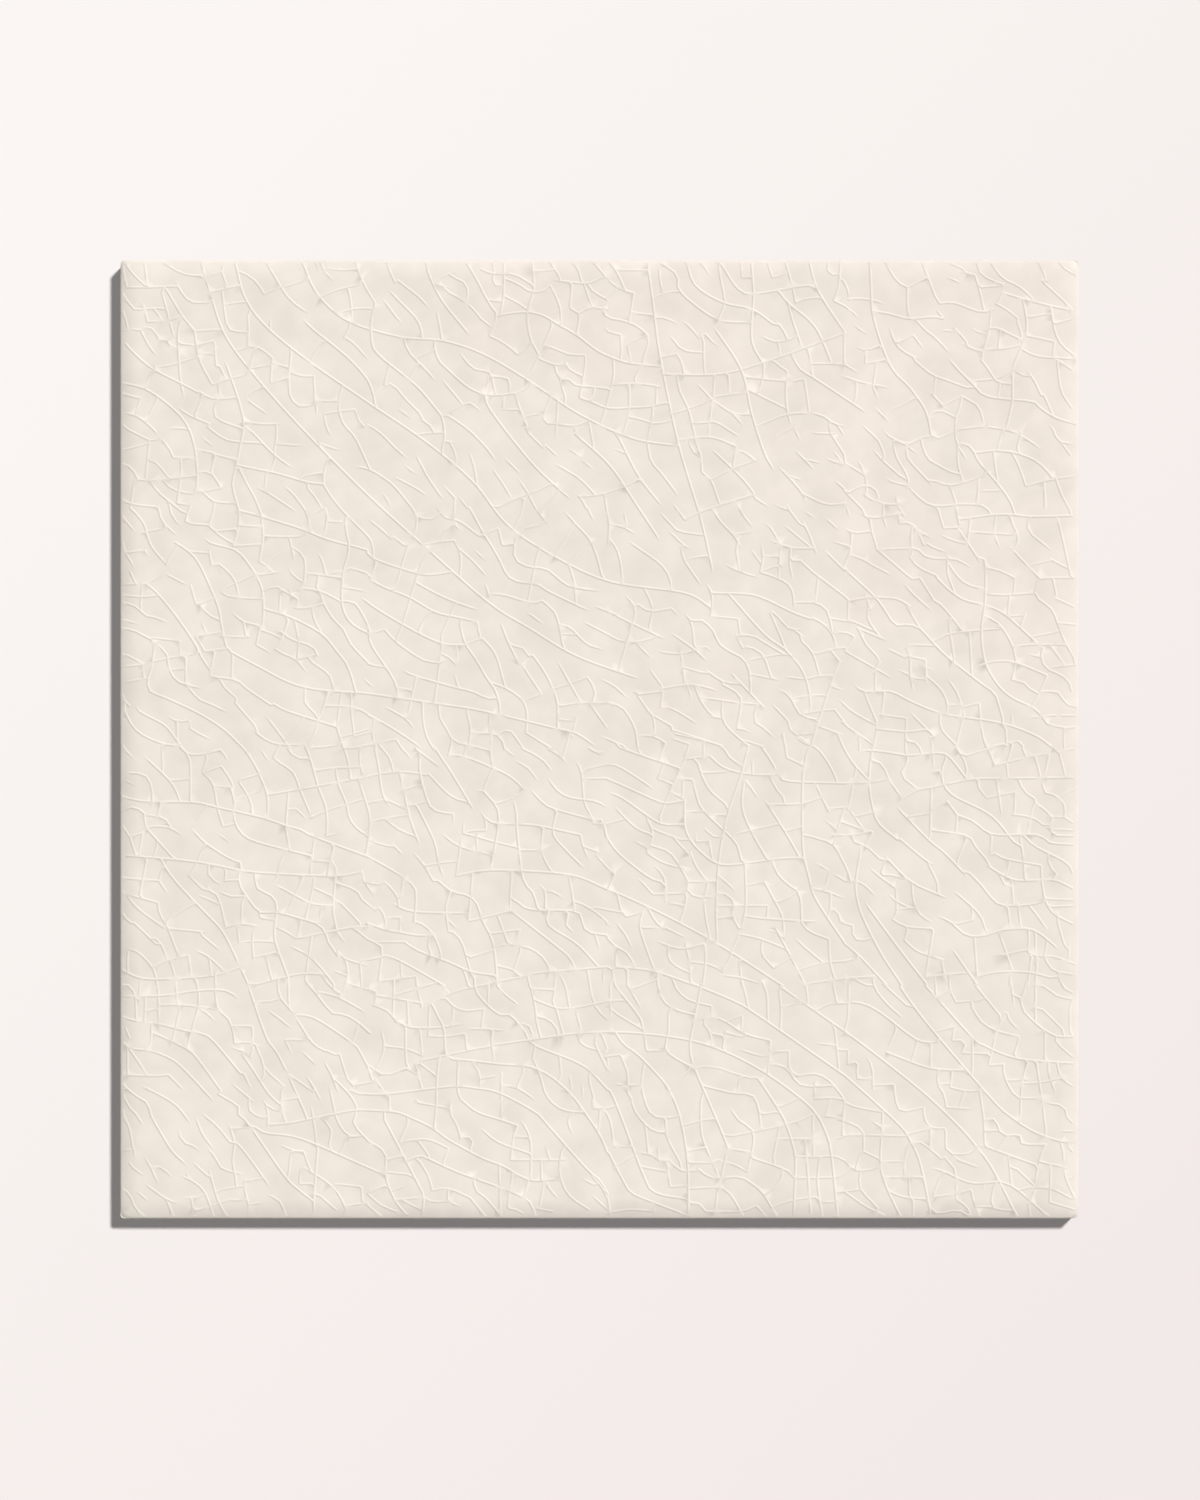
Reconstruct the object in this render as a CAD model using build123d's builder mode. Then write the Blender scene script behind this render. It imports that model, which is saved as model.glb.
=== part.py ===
"""Square wall tile of pressed and glazed ceramic, lying on its back with the glazed face up.

The tile is one fired piece. The origin is at the middle of its back, +Z points out of the glazed
face, and the four sides face +X, -X, +Y and -Y. Lengths are in millimetres, angles in degrees.
"""

import os
from math import radians, sin

from build123d import *

# Driving dimensions of the pressed blank
side = 150.0
thickness = 8.0
corner_radius = 0.5

# Cushion edge: the flat face rolls down over this width, then turns over a small arris
cushion_width = 2.8
edge_tilt = 15.0
arris_radius = 0.35

# Key on the back: a waffle of shallow drafted pockets that the bedding adhesive grips
key_rows = 6
key_border = 8.0
key_rib = 4.0
key_depth = 0.8
key_draft = 25.0
key_corner_radius = 2.0

# The cushion arc is tangent to the flat face and to the arris, so its radius follows from them
arris_reach = arris_radius * (1 - sin(radians(edge_tilt)))
cushion_radius = (cushion_width - arris_reach) / sin(radians(edge_tilt))

# The pockets share what the border and the ribs between them leave of the side
key_span = side - 2 * key_border
key_pocket = (key_span - (key_rows - 1) * key_rib) / key_rows
key_pitch = key_pocket + key_rib


def section_across_tile():
    """Upright section through the middle of the tile, drawn from the crown down to the back."""
    with BuildSketch() as section:
        with BuildLine():
            crown = Line((0, thickness), (side / 2 - cushion_width, thickness))
            cushion = JernArc(crown @ 1, crown % 1, cushion_radius, -edge_tilt)
            arris = JernArc(cushion @ 1, cushion % 1, arris_radius, edge_tilt - 90)
            wall = Line(arris @ 1, (side / 2, 0))
            Line(wall @ 1, (0, 0))
            mirror(about=Plane.YZ)
        make_face()
    return section.sketch


section = section_across_tile()

with BuildPart() as tile:
    # The same section pressed both ways leaves a hip line in each corner, as the die does
    with BuildSketch(Plane.XZ):
        add(section)
    extrude(amount=side / 2, both=True)
    with BuildSketch(Plane.YZ):
        add(section)
    extrude(amount=side / 2, both=True, mode=Mode.INTERSECT)

    # Upright corners
    with BuildSketch():
        RectangleRounded(side, side, corner_radius)
    extrude(amount=thickness, mode=Mode.INTERSECT)

    # Waffle key pressed into the back
    with BuildSketch():
        with GridLocations(key_pitch, key_pitch, key_rows, key_rows):
            RectangleRounded(key_pocket, key_pocket, key_corner_radius)
    extrude(amount=key_depth, taper=key_draft, mode=Mode.SUBTRACT)

tile.part.label = "tile"

os.makedirs("parts", exist_ok=True)
export_step(tile.part, "parts/tile.step")
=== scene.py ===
"""Crackle glaze ceramic tile: its raised crackle, its glaze and clay, and the floor it lies on."""

import math
import random

import bmesh
import bpy
import numpy as np
from bpy.props import FloatProperty, FloatVectorProperty, IntProperty, PointerProperty
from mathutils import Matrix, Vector, noise
from mathutils.geometry import delaunay_2d_cdt
from mathutils.kdtree import KDTree


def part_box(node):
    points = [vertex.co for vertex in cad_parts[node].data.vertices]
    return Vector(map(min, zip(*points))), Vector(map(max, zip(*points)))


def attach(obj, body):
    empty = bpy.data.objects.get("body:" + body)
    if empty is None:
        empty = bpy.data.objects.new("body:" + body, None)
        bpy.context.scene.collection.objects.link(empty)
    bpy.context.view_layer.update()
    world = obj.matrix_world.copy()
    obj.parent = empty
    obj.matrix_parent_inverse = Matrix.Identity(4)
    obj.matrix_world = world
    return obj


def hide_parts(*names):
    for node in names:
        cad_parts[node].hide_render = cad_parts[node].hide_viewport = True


bl_info = {
    "name": "Crackle glaze ceramic tile",
    "version": (1, 0, 0),
    "blender": (4, 5, 0),
    "location": "3D View > Sidebar > Tile",
    "description": "Raises the crackle on a glazed wall tile and lays the tile on a pale floor",
    "category": "Object",
}

MM = 0.001

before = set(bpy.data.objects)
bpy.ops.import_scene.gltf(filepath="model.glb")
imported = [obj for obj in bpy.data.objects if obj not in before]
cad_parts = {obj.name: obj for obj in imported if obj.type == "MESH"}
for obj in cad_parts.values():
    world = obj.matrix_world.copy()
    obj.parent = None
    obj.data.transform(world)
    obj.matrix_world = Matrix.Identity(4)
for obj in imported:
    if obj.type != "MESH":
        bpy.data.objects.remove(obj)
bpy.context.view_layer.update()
TILE_LOW, TILE_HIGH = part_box("tile")
SIDE = TILE_HIGH.x - TILE_LOW.x
HALF = SIDE / 2
TOP = TILE_HIGH.z

# Courses of the cracks, read off the face: points in thousandths of the side, the first number
# from the left side, the second from the upper side down; a semicolon ends a crack
CRACK_COURSES = """
84,0 94,34 109,77 139,118 186,171 257,243 320,300 385,357 428,384 477,413 543,437; 120,2 130,38 152,68
196,104 258,147 321,190 369,231 405,276 456,310 512,335 590,347 618,363; 190,0 205,33 237,62 292,79 337,83
379,97 424,123 480,160 535,185 582,193; 0,560 27,565 77,566 100,571 148,582 175,591 187,594 200,601 259,623;
0,621 77,628 125,637 152,640 223,643 250,639; 5,1 11,11 25,25; 25,3 28,25; 1,2 6,25; 6,27 30,27 53,26; 45,1
57,9 70,14 84,15; 86,17 95,14 105,10; 107,5 106,11 111,25; 94,32 107,29 124,25; 57,19 62,30 70,40 76,43
92,43; 1,34 8,43 14,50; 14,50 25,50 40,49; 50,33 57,45 65,58 77,72; 77,72 80,93 84,107 96,129; 77,73 92,72
105,71; 106,30 109,55 112,69 119,73 132,74; 100,48 110,45 123,43; 43,33 48,50 52,66 55,76; 22,42 26,54
28,63; 28,63 48,62 65,57; 34,49 39,55 44,63; 1,52 5,60 7,69; 0,72 11,71 21,72; 21,72 26,82 32,92 39,99;
25,69 32,70 38,77 41,82; 30,84 41,82 52,82 55,77; 5,86 14,96 33,112 62,127 81,137; 36,110 50,109 80,100;
65,58 60,74 61,105 63,127 67,143; 51,87 61,91; 63,86 79,88; 80,88 97,83; 98,79 99,98 100,109; 82,96 99,97;
104,110 110,123; 109,103 114,118 121,138 126,155 129,172 126,188 121,213 118,225 117,236 123,258; 96,129
110,124 133,118; 102,128 104,143; 82,136 92,142 102,144 116,143 126,140; 0,127 25,133 50,150 68,169 77,193
80,220 80,234 78,241; 0,138 19,143; 32,115 26,132; 22,142 14,160; 38,144 27,167; 0,158 15,161 27,169 40,182
52,198 55,205; 55,205 79,206; 1,171 8,176 20,182 30,187 39,186; 30,188 28,207 26,229; 28,207 36,210 43,217
49,225; 0,212 8,214 14,220 19,229 26,229; 26,229 45,228 80,224; 63,207 63,225 59,252; 80,221 94,221 105,237;
99,203 94,221; 50,174 67,175; 60,152 70,160 93,170; 86,140 78,160; 99,147 98,161 108,168 128,175; 91,173
101,181 112,187 126,189 144,190; 84,183 97,194; 78,197 92,199 106,204 121,207; 131,173 140,181 154,196
169,209 181,216; 129,167 145,170 165,170; 163,171 163,184 161,197; 163,191 192,193; 130,142 138,149 154,160;
126,143 148,131; 121,213 140,217 160,221 178,226 195,231 212,233; 157,220 162,205; 124,216 132,233 140,247
146,262; 142,236 155,243 184,262; 170,235 180,243 193,260; 152,222 151,238; 196,238 203,246 211,259; 212,233
220,246 232,261; 212,233 213,219 217,206; 193,224 211,221; 208,190 220,195 231,197; 213,163 216,175 221,183;
202,119 203,140 206,162; 203,146 228,146; 206,162 220,158 245,155; 230,137 228,152 233,170 245,184 257,209;
246,157 250,168 256,174; 178,98 176,120 177,140 183,149 190,152 203,149; 177,116 190,120 202,120; 158,106
176,111; 140,111 158,108; 158,105 157,125; 149,130 174,122; 133,57 134,72 133,88; 126,92 134,89 146,91
159,101; 140,92 135,112; 157,57 156,72; 125,11 135,16 143,23 150,34; 150,34 166,27; 153,2 160,14 173,35
184,46 197,54; 173,26 195,19; 191,60 200,70 225,90 240,103 253,117 260,127 264,138 266,149; 202,98 211,84;
234,79 245,87 259,103; 230,89 238,72; 210,3 214,12 224,20; 204,1 208,11; 217,7 229,9 248,8; 214,35 226,30
250,24; 238,28 241,44 242,63; 227,54 242,50 258,49; 3,197 16,194 29,190; 16,182 16,194; 0,249 13,254 38,257;
31,230 38,240 47,248 63,261; 44,229 51,236 62,241 76,243; 78,240 86,241 94,249 102,252 121,253; 86,241
117,234; 14,230 12,245 10,258; 60,253 73,255; 246,2 250,13 255,25 266,43; 279,2 282,11 287,22; 290,20 303,30
314,39 323,50; 280,29 289,39 301,51 310,61 314,70 316,81; 273,39 280,47 288,58 295,65; 265,50 262,63 262,77
264,90 271,99 282,108 297,120 310,131 320,142 328,152 336,162 338,171 339,182 337,193; 297,81 299,90 304,98
312,106 330,125; 328,82 329,93 333,104 341,112 361,130 372,136 379,139 392,140 412,138 422,134 429,129;
335,123 344,133 358,150; 358,150 367,148 371,152 377,158; 336,162 340,160 361,174 372,184 385,198 393,210;
340,160 348,155 358,150; 282,128 290,134 297,143 312,158; 289,153 305,165; 310,162 324,172; 258,171 271,179
288,196 300,206; 244,215 255,216 265,220 276,227 287,236 305,258; 296,212 304,219 311,223; 308,201 315,214
322,227 338,250; 286,225 297,231 310,238 321,246; 272,241 278,248 283,258; 336,233 350,248; 351,243 363,258;
364,199 369,212 372,228; 349,198 352,209; 351,201 364,199 377,195; 318,180 338,179; 338,188 351,190; 320,2
322,12 327,24 333,36 342,49 351,60 366,78; 328,23 345,28; 328,24 340,14 352,11; 351,18 358,21 362,26 363,38
361,43; 344,33 352,37 361,43 369,50 377,60 390,70; 362,2 369,13 375,24 381,36 387,46 393,54; 393,54 392,63
390,70 386,77; 386,78 395,82 406,89 415,97; 330,50 333,63 336,81; 323,50 330,50 342,42; 394,57 409,54 425,53
434,54 445,58 456,65 477,77 498,93 515,101 530,106 546,108 564,110; 401,2 401,13 401,25 400,40 397,56; 377,8
386,12 392,13 406,13 415,15 430,24; 389,2 391,13 389,24 401,25; 390,41 399,42; 401,36 409,40 418,45 425,50;
409,43 410,54; 410,21 418,25 425,30 432,32 440,32 449,25; 431,2 432,18 432,32 428,43 426,52; 425,53 426,66
429,81 437,97; 431,10 440,10 450,9; 450,2 458,14; 450,26 456,38 460,50 461,65; 452,19 465,21 488,23 498,19
508,16; 474,2 479,9 482,20; 472,24 471,38 470,47; 488,23 493,30 500,35 509,40; 463,49 472,50 479,54; 479,54
480,59 477,75; 480,54 491,48 500,49 509,50; 488,33 493,47; 435,100 443,104 454,108 466,108; 442,88 454,91
468,97 486,98; 486,98 486,109 483,127 479,148; 454,108 456,116 460,123 470,124 477,130 490,131 509,133;
466,98 466,109 473,115 483,120; 466,110 463,121; 460,124 462,132 465,141; 465,138 473,132; 481,143 493,147
507,153 519,154 533,153 553,152 569,148; 496,132 493,145; 413,139 416,150 425,172; 401,140 400,155; 399,155
415,155; 385,116 385,120 406,123 406,139; 355,95 361,104 369,112 377,114 386,116; 385,120 382,139; 389,124
392,138; 381,140 383,149 392,163 408,184 432,213 457,237 472,249; 401,205 419,223; 415,227 424,239 434,258;
388,216 396,227 403,238 409,249; 395,257 409,250 433,241 450,233; 424,174 433,177; 427,180 442,195; 444,192
458,205; 425,162 433,160 443,160; 447,148 442,167 457,170 475,172 488,167; 457,151 456,170 455,185; 490,167
492,179 494,189; 475,171 476,180; 467,195 483,205; 481,207 497,219; 454,211 465,218 477,225 488,235 496,244;
479,245 483,250 487,258; 481,246 495,245 506,243; 506,243 508,256; 451,68 443,86; 438,98 428,119; 416,97
429,88; 304,120 311,107; 314,99 327,93; 279,116 276,129; 267,135 278,130; 505,68 510,73; 551,0 557,45 564,98
583,189 607,270 620,327; 620,68 649,113 660,159 674,202 685,220; 566,118 625,118 672,106 758,75; 592,0
601,25 630,43 660,50 682,65; 566,2 582,14 583,27 594,40 625,61 658,64; 627,0 645,28 662,34 705,27 719,25
728,28; 660,3 662,36 660,82 672,107; 696,2 703,27 706,43; 721,2 727,25 738,45 757,73; 689,32 699,44 726,68
743,104; 699,47 704,65 713,91; 702,98 711,113 727,123 780,158; 697,116 696,143 700,166 712,188; 664,173
698,160 730,160 745,169 758,173; 653,121 697,125 715,123; 620,146 641,159 660,160; 582,120 585,136 594,155
601,184; 582,187 617,184 643,193; 575,160 597,153 615,146; 522,186 542,225 567,257; 551,190 555,209 565,221
584,246; 475,180 512,214 541,257 565,293; 618,196 649,226 662,242; 688,214 712,241 718,253; 713,243 738,254
758,253; 496,2 505,13 514,23 523,29 537,33; 512,1 519,11 526,26; 525,9 551,9; 506,40 507,57 521,61 532,64
542,69 551,77; 537,34 534,50 532,63; 534,53 546,55 557,56; 508,38 517,32; 504,70 512,74 524,77; 523,77
524,93; 551,77 552,86 548,98 546,107; 535,84 549,77; 530,88 534,104; 515,101 516,116 514,129 509,148
503,168; 514,129 530,128 544,128 564,131; 532,129 532,148 531,163 526,179; 561,132 560,148; 532,163 544,165
555,169 565,169 574,167; 557,151 556,163 551,188; 543,113 538,122; 563,2 564,18 567,33; 556,39 569,33
585,31; 606,1 613,9 617,17; 626,8 629,25 632,43 626,59; 650,17 660,16; 649,2 650,15; 677,2 682,17; 682,17
695,13; 559,59 569,59 576,62 583,66; 586,62 594,67 605,80; 573,77 579,83 587,92 601,95 615,95; 608,77 610,86
610,102 611,118; 612,76 619,84 627,89; 564,101 583,96; 582,97 587,106 589,117; 670,77 678,82 686,84 699,82
706,79; 684,61 692,70 697,80; 688,84 690,100; 683,104 690,110 698,115; 673,107 672,120 668,136; 664,138
678,145 697,154; 707,43 717,39 730,38; 718,90 721,100 723,116; 715,123 718,141 720,157; 726,107 740,107
758,108; 602,128 608,133 617,143; 621,120 620,142; 636,119 637,139; 626,141 640,139 653,138; 626,149 642,161
652,173; 619,145 617,161 615,184; 597,169 608,169 622,168 631,173 648,184; 594,186 596,193 601,201 606,204;
604,195 607,204 608,220; 595,220 605,221 617,228 626,252; 644,193 641,211; 644,198 653,200 663,208; 626,224
642,216 665,208; 494,244 505,243 526,236 542,228; 515,195 524,199; 577,253 582,259; 619,258 635,252 662,244;
643,251 648,259; 664,248 672,253 679,258; 683,253 692,258; 695,253 699,258; 705,197 713,205 726,218; 720,208
733,211; 741,172 743,180 757,202; 721,178 731,180 745,180; 737,205 747,210 758,212; 745,198 754,209; 747,229
757,238; 701,225 715,230; 751,173 758,184; 746,41 758,47; 753,2 751,27 746,40; 740,2 741,13 752,13; 757,77
757,106; 784,2 785,25 786,50 790,68 796,87 804,107 813,120 823,129 833,142 840,152 845,165 848,182; 787,52
805,55 825,60 850,58 861,60; 801,2 808,15 815,23 823,27; 823,27 823,45 825,60; 826,26 843,17; 839,2 846,20
852,36 857,44; 853,50 861,60; 857,44 870,43 880,46 893,51 903,53 913,50; 894,15 899,32 903,50; 896,2 900,13
910,19 923,24; 911,2 918,12 925,19 938,25 948,33 954,39; 921,32 940,38 955,42 975,47 995,51; 961,2 966,12
968,20; 964,20 973,29 982,37 995,50; 983,2 990,9 1000,14; 864,16 880,23; 876,10 893,14; 868,2 880,7; 900,27
923,25; 927,22 917,45; 916,44 928,51 939,60; 944,41 947,55 948,70 945,83 940,95 935,108 933,125 933,145
930,160 927,173; 938,62 942,75 943,85; 889,69 898,74 907,75; 907,70 918,70 930,76 943,82; 911,50 908,75
903,92 901,102; 880,85 890,91 901,94; 903,92 925,91 943,87; 873,70 884,83; 857,72 872,73; 921,72 918,90;
948,78 960,80 977,84; 945,93 955,98 965,100 980,101 1000,102; 977,84 975,101; 973,47 975,60 978,75 985,88
995,96; 952,58 973,54; 978,65 995,60; 832,61 842,72 850,78 868,96; 866,101 875,112 893,130 900,138 910,142
925,144 955,147 963,154 975,162 985,166 1000,170; 804,67 808,80 813,89 822,96 836,103; 832,105 848,118
858,122 885,132; 829,77 841,93; 813,85 829,77; 766,64 773,71 782,76; 747,42 757,47 767,54 772,60; 756,20
761,30 762,40; 753,41 765,39 785,40 799,45; 769,89 780,93 794,88; 780,93 779,106; 779,107 800,103; 790,108
789,120 787,130 793,145; 744,106 757,108 772,117; 753,119 770,125 787,129 805,132; 770,125 769,143; 788,152
804,168; 775,171 784,179 793,188 797,197 799,203; 798,176 806,185 818,190 834,202; 825,191 840,184 850,182
856,185; 837,185 840,197 845,207 855,213 868,220; 856,185 875,177; 878,152 874,163 873,178 876,193 886,208;
880,141 890,147 898,153 904,173; 862,150 880,141; 848,138 861,152; 852,126 851,138; 846,161 857,156 873,163;
875,176 890,174 903,173 920,175 938,180 963,196; 880,190 890,195 898,210 917,232 930,250 934,260; 897,200
915,198 935,200 950,205 962,212 975,226; 934,203 940,215 947,235; 947,235 965,230 1000,224; 913,199 915,215
917,227; 922,178 917,197; 938,195 942,180; 876,193 876,212 881,230; 853,230 865,234 880,232 903,224; 898,226
896,255; 898,240 916,240; 867,234 873,250 875,260; 746,228 757,240 775,258; 800,226 808,231 822,234; 787,196
797,208 815,224; 808,188 811,203 818,216 824,227 823,238; 822,190 823,205 833,217 850,235; 815,222 823,234
833,245 845,254 858,256 880,254 900,255 908,260; 748,198 757,210 768,217 779,224; 770,207 777,218 780,230
780,250; 762,242 775,235 788,237 793,247; 770,240 785,248 800,254 815,254; 966,229 967,258; 978,226 984,243
993,260; 970,170 977,178 980,187 990,190 1000,191; 986,192 994,203; 980,106 982,125 985,138 995,153; 980,103
995,113; 948,114 956,125 963,140; 966,140 973,156; 933,113 944,119; 900,103 908,113 914,123 920,127 933,128;
890,125 918,122 933,112; 920,127 918,143; 10,258 18,266 25,276 28,288 34,301 48,317; 2,267 9,276 16,283;
16,285 31,282 47,279; 38,251 40,260 43,271 50,279 60,287; 51,255 53,264 58,272 64,277; 70,264 68,273 80,275
93,276 98,282 107,289 118,295; 99,251 96,264 93,276; 123,258 124,267 123,278 118,299; 102,282 120,280;
124,261 137,264 164,272 189,280 217,291 244,298 258,302; 146,262 149,283 148,297 145,314; 123,276 136,277
148,277; 149,287 162,288 184,288 193,286; 118,298 132,297 148,296; 87,289 95,295 118,301 127,308 134,317
141,327 146,338 149,349 149,376 145,386 142,401; 142,401 158,410; 57,294 68,301 77,309 84,320 91,335 98,351
103,365 106,383 111,404 120,411 148,426 175,440 205,448 258,452; 78,304 92,305; 92,296 93,306 95,317; 95,318
104,317 112,325 119,333 124,351; 105,346 112,350 125,352 148,353; 145,314 152,318 158,324; 146,328 158,326
167,325; 177,277 177,290 182,315; 181,300 189,306 193,315 192,336; 176,319 179,327 185,332 192,336; 205,304
211,313 214,326; 193,326 217,329 231,331; 215,326 232,324 241,321 257,326; 235,270 236,283 239,296 237,310
233,324 231,351 232,361 236,372 244,381 257,388; 214,258 216,267 213,287; 201,264 214,257; 217,272 235,273;
193,260 197,271 198,279; 232,261 241,270 259,288; 205,340 207,328; 177,345 189,343 192,336; 191,342 205,344
214,347 225,353 231,356 241,356 248,361 258,379; 233,341 246,343 258,346; 149,345 162,340 173,346 185,353;
167,344 166,365; 149,363 177,372 203,385 216,395 226,408 235,419 241,433 246,451; 185,354 184,363 198,362
211,358; 210,350 214,361 223,375 233,385 241,401 258,419; 200,364 203,376 208,385; 182,376 185,390 186,401
185,415; 169,388 178,395 200,403 206,412; 175,376 168,397 161,405; 145,385 157,389 167,394; 161,405 171,411
184,417 195,431; 186,416 205,411; 201,420 210,426 219,434 223,449; 116,366 125,375 132,378 145,381; 129,379
131,391; 110,392 125,393 142,392; 82,358 89,367 96,372 104,375; 84,358 99,351; 73,338 76,349 79,359; 45,326
59,333 72,340; 26,337 38,347 57,370 77,399 84,413 93,427; 84,376 90,389; 79,392 105,388; 79,393 88,408;
88,408 111,405; 0,357 11,359 20,364 24,370 38,373 50,379; 0,375 20,379; 0,384 13,386 25,392 34,397 43,405
49,413 50,424 54,433 61,440 85,447; 34,394 62,397; 62,398 62,413; 25,421 50,415 80,410; 0,411 11,414 24,422;
0,424 23,422; 23,423 24,436; 0,441 28,436; 35,402 33,422 29,436 30,449 48,457 80,472 107,489 128,509; 68,415
68,441; 56,427 68,426; 98,409 94,432; 93,434 120,438 128,444 139,452 157,464; 117,413 116,437; 104,438
109,446 121,457; 72,447 82,458 96,464 112,472; 120,462 140,485; 137,489 148,498 160,504 175,506 193,505;
160,463 173,470 207,481 226,487; 193,445 193,463 201,470 207,480; 151,475 160,486 177,509; 207,481 201,498
194,509; 226,487 233,509; 217,451 208,479; 214,465 242,466 258,473; 231,451 226,486; 242,452 241,468
244,493; 230,498 258,490; 0,455 9,465; 15,464 21,472 31,477 48,487 64,509; 4,469 9,481 18,492 32,500 50,506
63,505; 48,475 59,481 72,480; 59,481 59,500; 72,481 72,488 95,501; 0,294 7,308 15,321; 10,325 15,336; 0,338
25,337; 25,337 42,330; 0,349 23,351 40,349; 22,338 21,361; 25,301 30,310; 4,305 25,302; 60,296 50,312;
108,342 139,328; 298,249 305,258 310,269 308,284; 310,267 322,270 331,266; 330,256 338,267 349,270 358,274
368,282 375,287; 349,270 349,274 356,282; 354,244 365,258 376,278 395,310 404,328 415,335 436,338 449,346
491,366; 258,269 271,279 283,290; 285,288 297,297; 244,272 255,284 262,292 264,301; 258,305 267,312 296,322
320,328 345,325; 319,296 336,293 350,292; 336,292 340,282 346,276; 349,292 353,299 356,310 355,326; 354,301
368,313 384,331; 369,301 383,314; 381,336 386,351; 301,296 296,312 287,343; 318,309 311,326 296,376 290,392;
309,336 329,347 349,356 375,365; 261,333 276,341 303,352 329,367 351,372 373,377; 244,322 255,327 261,330;
267,315 262,331; 251,351 267,363 297,381 324,395 342,401 360,401; 360,401 375,395; 322,368 312,385; 349,360
336,390; 376,361 373,377 376,392; 379,395 392,411 401,441; 355,379 360,399 372,417 383,436 392,449 396,463
397,472; 388,441 404,447 420,459 425,472 424,493; 397,376 404,395 417,422; 411,402 420,404 427,413; 419,420
429,436 440,452; 431,412 443,429 452,447 457,463 457,488; 457,418 468,438 481,461; 461,465 481,462 511,462;
488,435 496,448 494,460; 491,463 511,491; 440,451 472,441 488,435; 420,460 440,453; 420,449 420,459; 244,358
255,372 260,386 262,401 283,433 289,447 289,457; 244,383 253,388 262,389 276,385; 276,385 287,397 306,411
319,418 335,420; 336,402 331,441 328,462; 337,411 347,417 353,426; 352,402 352,418; 349,431 353,445; 295,427
306,433 351,446 368,450 383,457 394,457; 290,446 305,449; 309,436 300,477; 244,404 253,417 262,422 274,424;
253,436 265,446; 258,452 333,463 377,470 457,489 475,493 497,507; 244,467 280,486 315,509; 275,465 299,479
307,490; 316,463 316,477 320,497 328,511; 333,464 334,477 342,491; 342,491 349,502 363,506; 362,472 366,488
364,509; 386,473 385,493; 367,493 395,496 402,511; 395,496 406,490 418,505; 424,493 450,509; 459,479
475,481; 477,477 472,497; 441,355 454,367 459,383 462,399; 388,348 401,349 429,357 441,355; 424,366 443,380;
460,380 470,383 477,390 489,401 506,406; 462,390 477,390; 484,377 511,391; 495,360 511,367; 475,341 476,353;
413,290 412,310 425,319 445,322 457,331 470,340 502,345; 401,297 411,295; 401,313 412,310; 435,310 427,351;
470,320 476,341; 464,261 477,276 490,290 498,308 503,327; 429,244 434,258 449,277; 482,244 495,272; 395,279
399,296; 379,286 395,279; 395,259 411,251; 349,244 349,270; 265,481 263,493 267,509; 244,497 263,492;
244,509 288,500; 288,500 295,511; 506,244 508,258 511,274 510,300; 512,275 526,278 539,286; 526,261 530,276;
533,244 542,260 551,272; 551,278 565,293; 555,244 567,257; 563,262 574,273 583,282 607,286; 577,252 590,270;
591,270 604,263 643,250 657,246; 601,249 607,267 613,302 616,318 621,327; 618,258 629,274 641,286 650,301;
643,251 651,265 663,280; 642,286 659,283; 573,281 586,294 596,301; 531,293 546,303 565,317 574,330 576,343;
511,290 519,301 523,316 525,335; 586,299 589,311 597,324 608,339; 593,311 613,308; 612,336 618,347 619,359
617,370; 618,347 653,348 671,352 705,368 722,374; 637,349 664,380 678,394 694,405 701,412; 700,411 712,426
719,444 722,465; 617,371 646,374; 646,374 648,391; 648,391 662,392 674,399 694,411; 600,376 609,376 620,387
626,400 637,408 650,415 657,426 659,444; 590,368 597,378 600,401; 575,388 600,406 614,419; 602,404 611,403
620,409; 561,407 574,410 590,410 599,407; 585,399 590,442; 552,425 561,437 567,447 565,466; 565,467 577,468
604,484; 567,447 583,444 600,443 625,449; 594,444 597,459; 601,444 606,458 614,470; 598,459 611,457 650,462
668,463; 610,426 629,439 645,442; 590,425 607,430; 637,429 675,469; 630,443 643,450 649,459 645,488; 630,460
629,475 636,489 657,507; 636,489 650,489 660,494; 611,475 630,478; 665,465 663,481 674,489 685,500; 680,462
690,472 699,482 703,494 724,494; 687,448 699,454 711,474 727,479; 659,432 690,438; 694,434 715,437 729,434
745,433; 713,398 724,410 731,433; 654,403 664,406 673,414 680,434; 657,417 694,410; 644,392 651,405; 724,373
736,380 745,391 749,404; 706,357 726,357 738,364 742,375 745,391; 669,325 681,329 696,336 703,346 705,368;
632,316 644,323 668,331; 644,303 647,322; 670,295 672,311 669,325; 659,301 668,313; 673,273 681,280 689,295;
678,291 690,296 706,300 724,300; 694,276 722,299; 712,270 719,283 729,308; 694,253 710,274; 664,249 681,261;
681,253 696,260; 715,261 728,270; 736,267 752,282; 720,244 733,250 749,253; 701,301 700,318 704,334; 690,301
688,331; 672,308 690,309; 674,323 685,319 701,318; 703,313 711,313 724,325 757,350; 736,302 757,323; 729,336
727,355; 745,374 757,376; 494,359 519,370; 519,371 569,395; 494,381 510,391 524,397 540,398 554,395; 539,399
555,415; 527,349 538,361 537,375; 549,345 555,357 556,368 553,382; 542,359 554,366 576,363; 576,363 584,371;
501,437 516,444 531,458; 494,460 508,461 523,466 531,475 538,489 541,507; 538,450 547,463 553,472; 542,453
565,450; 554,471 558,481 559,495; 557,475 576,486; 540,496 558,497 570,504; 577,490 629,507; 574,498
595,505; 494,468 509,489; 501,496 526,507; 535,380 521,428; 729,410 749,405 757,404; 742,406 752,418;
752,419 742,445 722,507; 742,444 757,449; 727,485 757,496; 703,458 720,454 738,454; 711,474 733,470 747,469;
747,469 757,482; 681,366 689,373 699,384 715,385; 680,368 692,396; 704,385 717,395; 706,494 722,507; 692,496
696,507; 655,502 673,508; 745,309 760,324 788,350 799,364 810,380 824,380 836,384 849,398 865,414 898,440
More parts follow.
